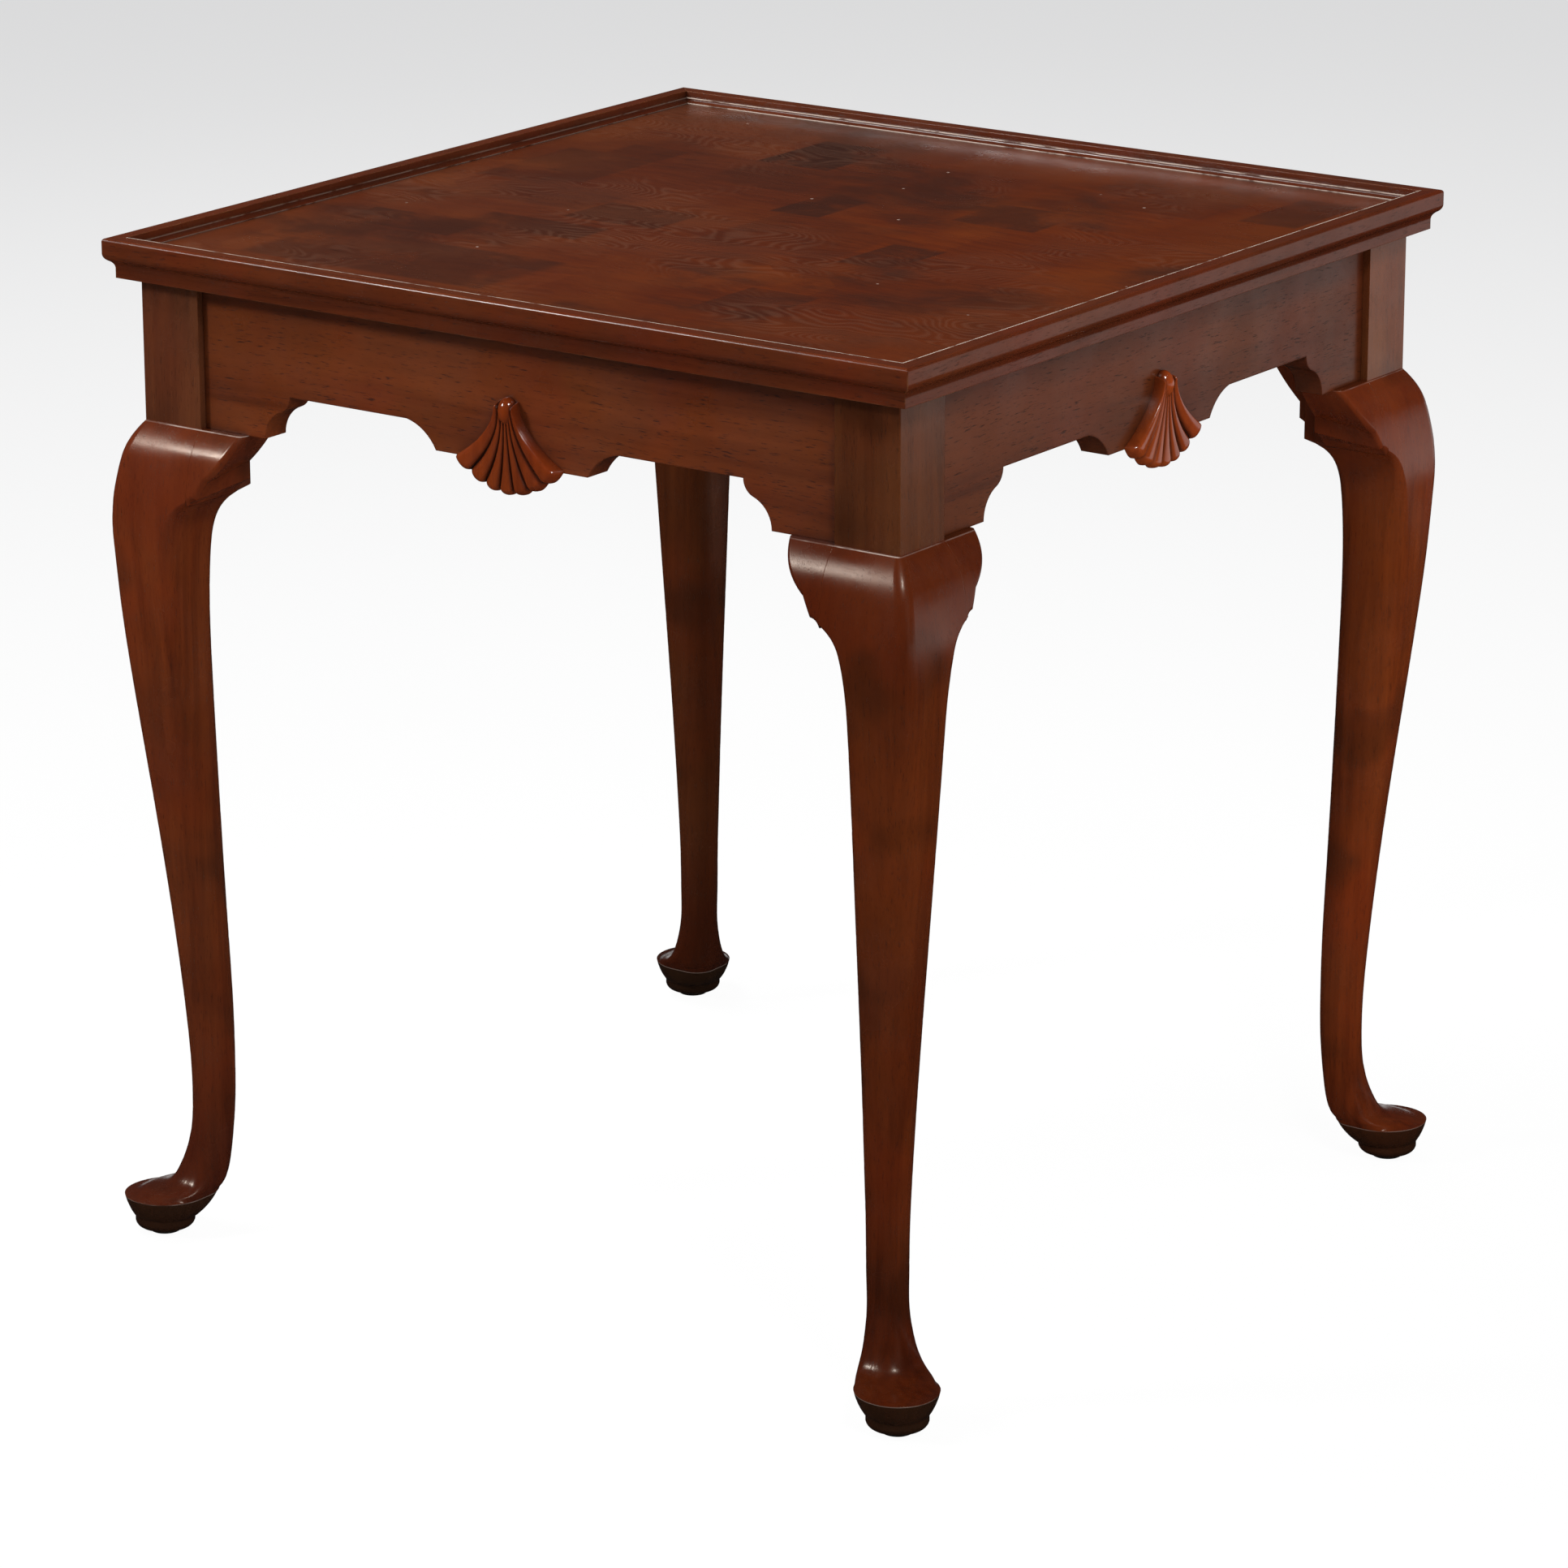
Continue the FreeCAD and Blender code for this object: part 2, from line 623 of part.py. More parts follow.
def mortise(along_x):
    """Pocket for a tenon in the post's inner side, a little deeper than the tenon is long."""
    spare = float(play)
    depth, thick, tall = float(tenon_length) + spare * 2, float(tenon_thickness), float(tenon_height)
    start, front, low = float(post) - depth, float(tenon_front) - spare, float(knee_line + tenon_shoulder) - spare
    sizes = (depth, thick + spare * 2) if along_x else (thick + spare * 2, depth)
    corner = V(start, front, low) if along_x else V(front, start, low)
    return Part.makeBox(*sizes, tall + spare * 2, corner)


def leg_shape():
    side = float(post)
    reach = float(size("foot_reach"))
    outside = 2 * float(size("rim_overhang"))
    corner_space = Part.makeBox(side + outside, side + outside, float(knee_line), V(-outside, -outside, 0))
    carved = carved_solid().common(corner_space)
    column = Part.makeBox(side, side, float(apron_height), V(0, 0, float(knee_line)))
    upright = [edge for edge in column.Edges if abs(edge.CenterOfMass.x) + abs(edge.CenterOfMass.y) < 0.01]
    column = column.makeFillet(float(size("post_arris")), upright)
    leg = carved.fuse([turned_disc(), column])
    nail_hole = Part.makeCylinder(float(size("nail_radius")), float(size("nail_length")) + float(play),
                                  V(-reach, -reach, float(size("glide_height"))))
    return leg.cut([mortise(True), mortise(False), nail_hole])


# --------------------------------------------------------------------------------------
# Knee blocks: glued under the apron's ear, against the side of the leg
# --------------------------------------------------------------------------------------
def knee_face_outline():
    """Bulge of the knee's front, as a closed outline in depth (x) and height (y)."""
    top = float(knee_line)
    reach = float(size("block_depth"))
    curve = Part.BSplineCurve()
    stations = [(depth, front) for depth, front, *rest in KNEE_STATIONS]
    curve.interpolate([V(0, -front, top - depth) for depth, front in stations])
    low = top - stations[0][0]
    points = [curve.EndPoint, V(0, reach, top), V(0, reach, low), curve.StartPoint]
    lines = [Part.LineSegment(a, b).toShape() for a, b in zip(points, points[1:])]
    return Part.Face(Part.Wire([curve.toShape(), *lines]))


def knee_side_outline(y, waist, corner, bulge):
    """Side of a knee block at depth y: along the apron (x) and up (z).

    Waist and corner are the two ends of its upright part: how far out, how far down.
    """
    top, start = float(knee_line), float(post)
    high_end, low_end = (V(reach, y, top - depth) for reach, depth in (waist, corner))
    inner_top, tip = V(start, y, top), V(float(size("block_top_reach")), y, top)
    foot = V(start, y, top - float(size("block_foot_depth")))
    edges = [
        Part.LineSegment(inner_top, tip),
        bulged(tip, high_end, bulge),
        Part.LineSegment(high_end, low_end),
        bulged(low_end, foot, -float(size("block_hollow"))),
        Part.LineSegment(foot, inner_top),
    ]
    return Part.Wire([edge.toShape() for edge in edges])


def bulged(start, end, rise):
    """Arc in the XZ plane that bows outwards by rise, away from the leg and downwards."""
    chord = end - start
    outward = V(-chord.z, 0, chord.x).normalize()
    return Part.Arc(start, (start + end) / 2 + outward * rise, end)


def knee_block_shape():
    """Sawn with a waist at the back, and carved smooth towards the front of the knee."""
    waist, waist_top, waist_end, face_waist, face_top, corner, corner_depth, bulge, face_bulge, depth = (
        float(size("block_" + name)) for name in (
            "waist_reach", "waist_top", "waist_end", "face_waist", "face_waist_top",
            "face_corner", "face_corner_depth", "bulge", "face_bulge", "depth"))
    foremost = -max(station[1] for station in KNEE_STATIONS) - KNEE_SPARE
    carved = knee_side_outline(foremost, (face_waist, face_top), (corner, corner_depth), face_bulge)
    back = knee_side_outline(depth, (waist, waist_top), (waist, waist_end), bulge)
    sawn = Part.makeLoft([carved, back], True, True)
    start = float(post)
    face = knee_face_outline()
    face.translate(V(start, 0, 0))
    front = face.extrude(V(float(size("block_top_reach")), 0, 0))
    block = sawn.common(front)
    arris = [edge for edge in block.Edges if is_front_arris(edge)]
    return block.makeFillet(float(size("block_arris")), arris)


def is_front_arris(edge):
    """The front face meets the lobe, the waist and the hollow in edges in front of the post."""
    centre = edge.CenterOfMass
    inside_top = centre.z < float(knee_line) - 0.5
    return centre.y < 0 and inside_top and centre.x > float(post) + 0.5


def mirrored(shape):
    """The same piece for the other face of the leg, across the corner's diagonal."""
    return shape.mirror(V(0, 0, 0), V(1, -1, 0))


def make_legs():
    leg = leg_shape()
    block = knee_block_shape()
    for name, turn, x, y, aprons in CORNERS:
        feature_from_shape("leg_" + name, leg, x, y, turn)
        feature_from_shape("knee_block_%s_%s" % (name, aprons[0]), block, x, y, turn)
        feature_from_shape("knee_block_%s_%s" % (name, aprons[1]), mirrored(block), x, y, turn)


# --------------------------------------------------------------------------------------
# Carved shells: a fan of round ribs on a thin ground, hanging over the centre drop
# --------------------------------------------------------------------------------------
RIB_STEPS = 5
RIB_END_LENGTH = 0.9  # rounded end of a rib, as a part of its radius
RIB_FLARE = 1.7  # ribs leave the spring almost upright and flare towards their ends


def rib_curve(share):
    """Rib centre line from the spring to the end; share runs from -1 to 1 across the fan."""
    spring, low, tip = (float(size(name)) for name in ("shell_spring", "shell_low_height", "shell_tip_height"))
    start_x = share * float(size("shell_spring_half"))
    end_x = share * float(size("shell_half_width"))
    end_z = low + (tip - low) * share ** 2
    points = []
    for step in range(RIB_STEPS + 1):
        along = step / RIB_STEPS
        points.append(V(start_x + (end_x - start_x) * along ** RIB_FLARE, 0, spring + (end_z - spring) * along))
    return points


def rib_shape(share):
    """Round rib, thin where it springs and rounded off past its end."""
    start, end = float(size("shell_rib_start")), float(size("shell_rib_end"))
    forward_end = float(size("shell_relief")) - end
    forward_start = float(size("shell_knob_forward"))
    points = rib_curve(share)
    rings = []
    for step, point in enumerate(points):
        along = step / RIB_STEPS
        ahead = points[min(step + 1, RIB_STEPS)] - points[min(step, RIB_STEPS - 1)]
        forward = forward_start + (forward_end - forward_start) * along
        rings.append((V(point.x, -forward, point.z), start + (end - start) * along, ahead))
    tip, radius, ahead = rings[-1]
    for angle in (30, 55, 75):
        turn = math.radians(angle)
        past = ahead.normalize() * (radius * math.sin(turn) * RIB_END_LENGTH)
        rings.append((tip + past, radius * math.cos(turn), ahead))
    wires = [Part.Wire(Part.makeCircle(ring_radius, centre, way)) for centre, ring_radius, way in rings]
    return Part.makeLoft(wires, True, False)


def shell_shape():
    count = int(float(size("shell_ribs")))
    ribs = [rib_shape(2 * index / (count - 1) - 1) for index in range(count)]
    radius, forward = float(size("shell_knob")), float(size("shell_knob_forward"))
    knob = Part.makeSphere(radius, V(0, -forward, float(size("shell_top")) - radius))
    shell = knob
    for rib in ribs:
        shell = shell.fuse(rib)
    wide = 2 * float(size("shell_half_width"))
    front_space = Part.makeBox(2 * wide, wide, 2 * wide, V(-wide, -wide, -wide))
    return shell.common(front_space)


def make_shells():
    shell = shell_shape()
    for side in SIDES:
        name, turn, half_length, side_x, side_y = side
        x, y = at_side(side, ZERO, size("rim_overhang") + apron_recess)
        thing = feature_from_shape("shell_" + name, shell, x, y, turn)
        thing.setExpression("Placement.Base.z", knee_line.text)


# --------------------------------------------------------------------------------------
# Screws and their holes
# --------------------------------------------------------------------------------------
UPWARD = V(0, 0, 1)


def outward(turn):
    """Level direction out of the table through the apron whose turn is given."""
    return FreeCAD.Rotation(Z_AXIS, turn).multVec(V(0, -1, 0))


def screw_solids(name, spot, length, grown):
    """Countersunk head and shank, from the head's face along the screw's direction."""
    x, y, z, direction = spot
    aim = FreeCAD.Rotation(Z_AXIS, direction)
    head = doc.addObject("Part::Cone", name + "_head")
    bind(head, Radius1=size("screw_head_radius") + grown, Radius2=size("screw_radius") + grown,
         Height=size("screw_head_height") + grown)
    shank = doc.addObject("Part::Cylinder", name + "_shank")
    bind(shank, Radius=size("screw_radius") + grown, Height=length + grown)
    for thing in (head, shank):
        place(thing, x, y, z, aim)
    return [head, shank]


def screw(name, spot, length):
    thing = doc.addObject("Part::MultiFuse", name)
    thing.Shapes = screw_solids(name, spot, length, ZERO)
    return thing


def screw_hole(name, spot, length):
    return screw_solids(name, spot, length, play)


def cleat_spots(side):
    """Screws of one cleat: up into the rail, and out into the apron."""
    turn = side[1]
    half_span, offset, section = size("cleat_screw_span") / 2, size("cleat_screw_offset"), size("cleat_size")
    back = size("rim_overhang") + apron_back
    up, out = [], []
    for end in (-1, 1):
        x, y = at_side(side, half_span * end, back + section / 2)
        up.append((x, y, rim_bottom - section, UPWARD))
        x, y = at_side(side, (half_span - offset) * end, back + section)
        out.append((x, y, rim_bottom - section / 2, outward(turn)))
    return up, out


def corner_spots(corner):
    """Screws of one corner block, with the apron that each goes into."""
    turn, aprons = corner[1], corner[4]
    along = post + size("corner_screw_reach")
    head = apron_back + size("corner_screw_cover")
    height = size("corner_block_height")
    base = rim_bottom - size("corner_block_drop") - height
    x, y = at_corner(corner, along, head)
    low = (x, y, base + height / 3, outward(turn))
    x, y = at_corner(corner, head, along)
    high = (x, y, base + height * 2 / 3, outward(turn - 90))
    return [(aprons[0], low), (aprons[1], high)]


# --------------------------------------------------------------------------------------
# Corner blocks, cleats and glides
# --------------------------------------------------------------------------------------
def make_corner_block(corner):
    """Block glued and screwed into the angle of two aprons, notched round the post."""
    name, turn, corner_x, corner_y, aprons = corner
    notch = post + play
    far = post + size("corner_block_reach")
    body = doc.addObject("PartDesign::Body", "corner_block_body_" + name)
    corners = [(notch, apron_back), (far, apron_back), (apron_back, far), (apron_back, notch), (notch, notch)]
    plan = outline(body, "XY_Plane", "block_plan", corners)
    pad(body, plan, "block", size("corner_block_height"))
    place(body, corner_x, corner_y, rim_bottom - size("corner_block_drop") - size("corner_block_height"), turn)
    tools = []
    for apron, spot in corner_spots(corner):
        x, y, z, direction = spot
        hole_name = "corner_hole_%s_%s" % (name, apron)
        tools += screw_hole(hole_name, spot, size("corner_screw_length"))
        access = doc.addObject("Part::Cylinder", hole_name + "_access")
        bind(access, Radius=size("screw_head_radius") + play, Height=size("corner_block_reach"))
        place(access, x, y, z, FreeCAD.Rotation(Z_AXIS, direction * -1))
        tools.append(access)
    node(cut("corner_block_" + name, body, tools), "corner_block_" + name)


def make_cleat(side):
    """Square cleat screwed to the apron and up into the top frame."""
    name, turn = side[:2]
    section, length = size("cleat_size"), size("cleat_length")
    x, y = at_side(side, -length / 2, size("rim_overhang") + apron_back)
    blank = box("cleat_blank_" + name, length, section, section, x, y, rim_bottom - section, turn)
    tools = []
    up, out = cleat_spots(side)
    for number, spot in enumerate(up + out):
        tools += screw_hole("cleat_hole_%s_%d" % (name, number), spot, size("cleat_screw_length"))
    node(cut("cleat_" + name, blank, tools), "cleat_" + name)


def make_fixings():
    top_screws, apron_screws, corner_screws = [], [], []
    length = size("cleat_screw_length")
    for side in SIDES:
        make_cleat(side)
        up, out = cleat_spots(side)
        for number in range(len(up)):
            tag = "%s_%d" % (side[0], number)
            top_screws.append(screw("cleat_top_screw_" + tag, up[number], length))
            apron_screws.append(screw("cleat_apron_screw_" + tag, out[number], length))
    for corner in CORNERS:
        make_corner_block(corner)
        for apron, spot in corner_spots(corner):
            tag = "corner_screw_%s_%s" % (corner[0], apron)
            corner_screws.append(screw(tag, spot, size("corner_screw_length")))
    group("cleat_top_screws", top_screws)
    group("cleat_apron_screws", apron_screws)
    group("corner_block_screws", corner_screws)


def make_glides():
    """Nail-on glides: a domed disc with its nail, driven into the foot."""
    for corner in CORNERS:
        name = corner[0]
        x, y = at_corner(corner, -size("foot_reach"), -size("foot_reach"))
        disc = doc.addObject("Part::Cylinder", "glide_disc_" + name)
        bind(disc, Radius=size("glide_radius"), Height=size("glide_height"))
        place(disc, x, y, ZERO)
        doc.recompute()
        rounded = doc.addObject("Part::Fillet", "glide_rounded_" + name)
        rounded.Base = disc
        lower = next(index for index, edge in enumerate(disc.Shape.Edges, start=1)
                     if edge.Curve.TypeId == "Part::GeomCircle" and edge.CenterOfMass.z < 0.01)
        arris = float(size("glide_arris"))
        rounded.Edges = [(lower, arris, arris)]
        nail = doc.addObject("Part::Cylinder", "glide_nail_" + name)
        bind(nail, Radius=size("nail_radius") - play, Height=size("nail_length"))
        place(nail, x, y, size("glide_height"))
        whole = doc.addObject("Part::Fuse", "glide_" + name)
        whole.Base = rounded
        whole.Tool = nail
        node(whole, "glide_" + name)


def check_and_export():
    doc.recompute()
    for item in doc.Objects:
        if "Invalid" in item.State or "Error" in item.State:
            raise RuntimeError("%s did not compute: %s" % (item.Name, item.State))
    os.makedirs("parts", exist_ok=True)
    for name, thing in node_objects.items():
        if thing.Shape.isNull() or not thing.Shape.isValid():
            raise RuntimeError("%s has no valid shape" % name)
        thing.Shape.exportStep(os.path.join("parts", name + ".step"))
        print("%-34s %2d solid %12.1f mm3" % (name, len(thing.Shape.Solids), thing.Shape.Volume))


def main():
    make_top()
    for side in SIDES:
        make_apron(side)
    make_legs()
    make_shells()
    make_fixings()
    make_glides()
    check_and_export()


main()
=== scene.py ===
# %% [markdown]
# # A tray top tea table in red-brown mahogany
# The table is loaded as a fixed model in real metres, +Z up, with its feet on the floor. This
# script gives it its looks: the stained and lacquered wood, the figured veneer of the tray, the
# carved shells, and a plain studio round it. Each cell does one step and says why.

# %% Load the table
import bpy
import bmesh
import math
from mathutils import Matrix, Vector


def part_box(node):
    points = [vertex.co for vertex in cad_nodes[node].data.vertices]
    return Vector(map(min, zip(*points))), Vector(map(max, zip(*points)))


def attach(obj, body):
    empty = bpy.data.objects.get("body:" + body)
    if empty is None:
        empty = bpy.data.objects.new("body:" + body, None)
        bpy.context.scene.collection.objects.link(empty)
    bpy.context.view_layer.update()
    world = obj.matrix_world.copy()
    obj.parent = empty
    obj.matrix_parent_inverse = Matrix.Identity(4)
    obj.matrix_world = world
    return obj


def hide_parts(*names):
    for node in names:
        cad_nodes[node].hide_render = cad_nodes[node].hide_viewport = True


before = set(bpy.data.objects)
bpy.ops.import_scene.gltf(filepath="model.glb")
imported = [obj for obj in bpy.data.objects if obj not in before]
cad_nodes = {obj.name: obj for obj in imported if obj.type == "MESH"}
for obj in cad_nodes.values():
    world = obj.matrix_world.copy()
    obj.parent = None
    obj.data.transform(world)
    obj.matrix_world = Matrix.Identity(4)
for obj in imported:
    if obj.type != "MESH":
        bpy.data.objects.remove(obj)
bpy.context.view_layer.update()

# %% [markdown]
# ## Camera
# A long lens a good four metres away keeps the table's edges nearly parallel, as in a catalogue
# picture. The camera is placed from angles round a point in the middle of the table, which is
# easier to reason about than a location and three rotations.

# %% Place the camera
SENSOR_MM = 36
FOCAL_PIXELS, FRAME_PIXELS = 7746.93, 1932
AZIMUTH, ELEVATION, ROLL = (math.radians(angle) for angle in (35.62, 17.18, -0.11))
AIM = Vector((0.09312, -0.13110, 0.345))
DISTANCE = 4.10432
FARTHEST_SEEN = 60

along_floor = math.cos(ELEVATION)
backwards = Vector((math.sin(AZIMUTH) * along_floor, -math.cos(AZIMUTH) * along_floor,
                    math.sin(ELEVATION)))
rightwards = Vector((math.cos(AZIMUTH), math.sin(AZIMUTH), 0))
upwards = backwards.cross(rightwards)
rolled_right = rightwards * math.cos(ROLL) + upwards * math.sin(ROLL)
rolled_up = upwards * math.cos(ROLL) - rightwards * math.sin(ROLL)

lens = bpy.data.cameras.new("studio_camera")
lens.sensor_width = SENSOR_MM
lens.lens = FOCAL_PIXELS / FRAME_PIXELS * SENSOR_MM
lens.clip_end = FARTHEST_SEEN
camera = bpy.data.objects.new("studio_camera", lens)
bpy.context.scene.collection.objects.link(camera)
turned_axes = Matrix((rolled_right, rolled_up, backwards)).transposed().to_4x4()
camera.matrix_world = Matrix.Translation(AIM + backwards * DISTANCE) @ turned_axes
bpy.context.scene.camera = camera
print("camera at", [round(value, 3) for value in camera.matrix_world.translation],
      "lens", round(lens.lens, 2))

# %% [markdown]
# ## Helpers for shader nodes
# Materials here are networks of small nodes. These short helpers add a node with its settings
# and inputs, do sums on numbers and on vectors, and mix colours, so that each material below
# reads as a recipe.


# %% Add nodes and feed them
def feed(tree, socket, value):
    """Link a socket to the one that feeds it, or set its value."""
    if isinstance(value, bpy.types.NodeSocket):
        tree.links.new(value, socket)
    else:
        socket.default_value = value


def add_node(tree, kind, settings=None, in_order=(), **inputs):
    """Add a shader node. Its inputs are numbers, colours or sockets, in order or by name."""
    made = tree.nodes.new("ShaderNode" + kind)
    for name, value in (settings or {}).items():
        setattr(made, name, value)
    for index, value in enumerate(in_order):
        feed(tree, made.inputs[index], value)
    for name, value in inputs.items():
        feed(tree, made.inputs[name.replace("_", " ")], value)
    return made


def object_place(tree):
    """Where a point is, in metres. Every finish below is drawn from it."""
    return add_node(tree, "TexCoord").outputs["Object"]


def axes_of(tree, vector):
    return add_node(tree, "SeparateXYZ", Vector=vector).outputs


def chances(tree, cells):
    """Three random numbers that belong to each cell of a Voronoi node."""
    return add_node(tree, "SeparateColor", Color=cells["Color"]).outputs


# %% Sums
def sums(tree, operation, *values, clamp=False):
    return add_node(tree, "Math", {"operation": operation, "use_clamp": clamp}, values).outputs[0]


def times(tree, first, *others):
    for other in others:
        first = sums(tree, "MULTIPLY", first, other)
    return first


def highest(tree, first, *others):
    for other in others:
        first = sums(tree, "MAXIMUM", first, other)
    return first


def outside(tree, amount):
    """What is left of 1, so a mask turned inside out."""
    return sums(tree, "SUBTRACT", 1.0, amount)


def vector_sums(tree, operation, *vectors):
    return add_node(tree, "VectorMath", {"operation": operation}, vectors).outputs


def stretch(tree, vector, x, y, z):
    return vector_sums(tree, "MULTIPLY", vector, (x, y, z))[0]


def spread(tree, value, low, high, to_low=0.0, to_high=1.0):
    """Stretch the part of a value between low and high over a new range, with soft ends."""
    ranges = (value, low, high, to_low, to_high)
    return add_node(tree, "MapRange", {"interpolation_type": "SMOOTHSTEP"}, ranges).outputs[0]


def noise(tree, vector, scale, detail=3.0, roughness=0.5, distortion=0.0):
    made = add_node(tree, "TexNoise", Vector=vector, Scale=scale, Detail=detail,
                    Roughness=roughness, Distortion=distortion)
    return made.outputs["Fac"]


# %% Mixes and relief
MIX_SOCKETS = {"RGBA": (6, 7, 2), "VECTOR": (4, 5, 1)}  # first input, second input, output


def mix(tree, amount, first, second, kind="RGBA", way="MIX"):
    """Mix two colours or vectors. A Mix node repeats its sockets' names, so they go by number."""
    first_socket, second_socket, result = MIX_SOCKETS[kind]
    made = add_node(tree, "Mix", {"data_type": kind, "blend_type": way}, (amount,))
    feed(tree, made.inputs[first_socket], first)
    feed(tree, made.inputs[second_socket], second)
    return made.outputs[result]


def lay(tree, colour, mask, strength, over):
    """Lay a colour over another one where a mask says, as strongly as asked."""
    return mix(tree, times(tree, mask, strength), colour, over)


def add_relief(tree, shader, height, strength, distance, normal=None):
    """Feed the shader's normal from a height, on top of a normal that is already changed."""
    bump = add_node(tree, "Bump", Strength=strength, Distance=distance, Height=height)
    if normal is not None:
        feed(tree, bump.inputs["Normal"], normal)
    feed(tree, shader.inputs["Normal"], bump.outputs[0])


# %% Groups and materials
def new_group(name, inputs, outputs):
    """A node group with named sockets. Inputs and outputs are (name, kind, default)."""
    group = bpy.data.node_groups.new(name, "ShaderNodeTree")
    for entries, way in ((inputs, "INPUT"), (outputs, "OUTPUT")):
        for label, kind, *default in entries:
            kind = "NodeSocket" + kind
            socket = group.interface.new_socket(name=label, in_out=way, socket_type=kind)
            if default:
                socket.default_value = default[0]
    taken = group.nodes.new("NodeGroupInput").outputs
    given = group.nodes.new("NodeGroupOutput").inputs
    return group, taken, given


def use_group(tree, group, **inputs):
    return add_node(tree, "Group", {"node_tree": group}, **inputs).outputs


def start_material(name):
    """A new material with one Principled shader, its node tree and that shader."""
    material = bpy.data.materials.new(name)
    material.use_nodes = True
    tree = material.node_tree
    tree.nodes.clear()
    output = add_node(tree, "OutputMaterial")
    shader = add_node(tree, "BsdfPrincipled")
    tree.links.new(shader.outputs[0], output.inputs["Surface"])
    return material, tree, shader


# %% [markdown]
# ## Mahogany grain
# Mahogany is a plain, straight-grained wood with short dark pores and soft ribbon bands. Three
# stretched noises give the pores, the fine streaks and the bands. The grain runs along X of the
# vector that goes in, so each material turns its own vector first.

# %% Grain group
SWAY = 0.03  # how far the grain wanders
GRAIN_NOISES = {  # how a noise is stretched, its detail and roughness, the part of it that shows
    "Pores": ((110, 1150, 1150), (2, 0.6), (0.57, 0.72)),
    "Streaks": ((7, 210, 210), (5, 0.62), (0.25, 0.75)),
    "Ribbon": ((1.3, 34, 34), (3, 0.55), (0.3, 0.7)),
}
mahogany_grain, taken, given = new_group(
    "mahogany_grain",
    [("Vector", "Vector")],
    [("Pores", "Float"), ("Streaks", "Float"), ("Ribbon", "Float")])
tree = mahogany_grain
sway = times(tree, noise(tree, stretch(tree, taken["Vector"], 1.5, 6, 6), 1.6, 2), SWAY)
lift = add_node(tree, "CombineXYZ", Y=sway, Z=sway).outputs[0]
swayed = vector_sums(tree, "ADD", taken["Vector"], lift)[0]
for mask, (stretching, texture, shown) in GRAIN_NOISES.items():
    fibres = noise(tree, stretch(tree, swayed, *stretching), 1, *texture)
    feed(tree, given[mask], spread(tree, fibres, *shown))
print("grain group with", len(tree.nodes), "nodes")

# %% [markdown]
# ## Hand-rubbed stain and painted corner shade
# The finish of such a table is stained and rubbed back on ridges and edges, so that it looks old,
# and painted shade darkens every corner like a darker glaze. The group gives a mask for corners,
# found by ambient occlusion, and one for edges, found where a bevelled normal leaves the real
# one. Two slow noises say where the stain took darker or redder. The bevelled normal goes out as
# well, because sanded edges catch a thin line of light.

# %% Shading group
stain_and_corner_shade, taken, given = new_group(
    "stain_and_corner_shade",
    [("Vector", "Vector"), ("Reach", "Float", 0.02), ("Edge Width", "Float", 0.0016)],
    [("Corner", "Float"), ("Edge", "Float"), ("Cloud", "Float"), ("Red", "Float"),
     ("Normal", "Vector")])
tree = stain_and_corner_shade
# Painted shade: ambient occlusion finds the corners that the materials darken.
occlusion = add_node(tree, "AmbientOcclusion", {"samples": 6}, Distance=taken["Reach"])
openness = occlusion.outputs["AO"]
feed(tree, given["Corner"], spread(tree, openness, 0.35, 0.98, 1.0, 0.0))

bevelled = add_node(tree, "Bevel", {"samples": 5}, Radius=taken["Edge Width"]).outputs[0]
feed(tree, given["Normal"], bevelled)
true_normal = add_node(tree, "NewGeometry").outputs["Normal"]
likeness = vector_sums(tree, "DOT_PRODUCT", bevelled, true_normal)["Value"]
open_edge = times(tree, spread(tree, likeness, 0.86, 0.995, 1.0, 0.0),
                  spread(tree, openness, 0.4, 0.8))
wear = spread(tree, noise(tree, taken["Vector"], 60, 4, 0.6), 0.35, 0.62)
feed(tree, given["Edge"], times(tree, open_edge, wear))

cloud = noise(tree, taken["Vector"], 9, 4, 0.55, 0.3)
feed(tree, given["Cloud"], spread(tree, cloud, 0.36, 0.68))
red = noise(tree, stretch(tree, taken["Vector"], 1, 1, 0.6), 14, 3, 0.5, 0.4)
feed(tree, given["Red"], spread(tree, red, 0.4, 0.72))
print("shading group with", len(tree.nodes), "nodes")

# %% [markdown]
# ## Knocks and fly specks
# The maker beats a few small dents into the wood before lacquering and flicks dark specks over
# it. Voronoi cells place them: in some cells, a tiny disc round the cell's point is a dent.

# %% Distress group
WHOLE_CELLS, CLEAN_CELLS = 0.72, 0.60  # share of the cells without a dent, and without a speck
SPECKS_TO_DENTS, SPECK_TO_DENT = 3.1, 1.2  # how many more specks, and how much larger
distress, taken, given = new_group(
    "distress",
    [("Vector", "Vector"), ("Spacing", "Float", 0.05), ("Radius", "Float", 0.001)],
    [("Dent", "Float"), ("Rim", "Float"), ("Speck", "Float")])
tree = distress
per_metre = sums(tree, "DIVIDE", 1.0, taken["Spacing"])
radius_in_cells = times(tree, taken["Radius"], per_metre)

cells = add_node(tree, "TexVoronoi", Vector=taken["Vector"], Scale=per_metre).outputs
from_point = sums(tree, "DIVIDE", cells["Distance"], radius_in_cells)
dented = spread(tree, chances(tree, cells)[0], WHOLE_CELLS, WHOLE_CELLS + 0.03)
dent = times(tree, spread(tree, from_point, 0.35, 1.0, 1.0, 0.0), dented)
ring = times(tree, spread(tree, from_point, 1.0, 1.9, 1.0, 0.0), dented)
feed(tree, given["Dent"], dent)
feed(tree, given["Rim"], sums(tree, "SUBTRACT", ring, dent, clamp=True))

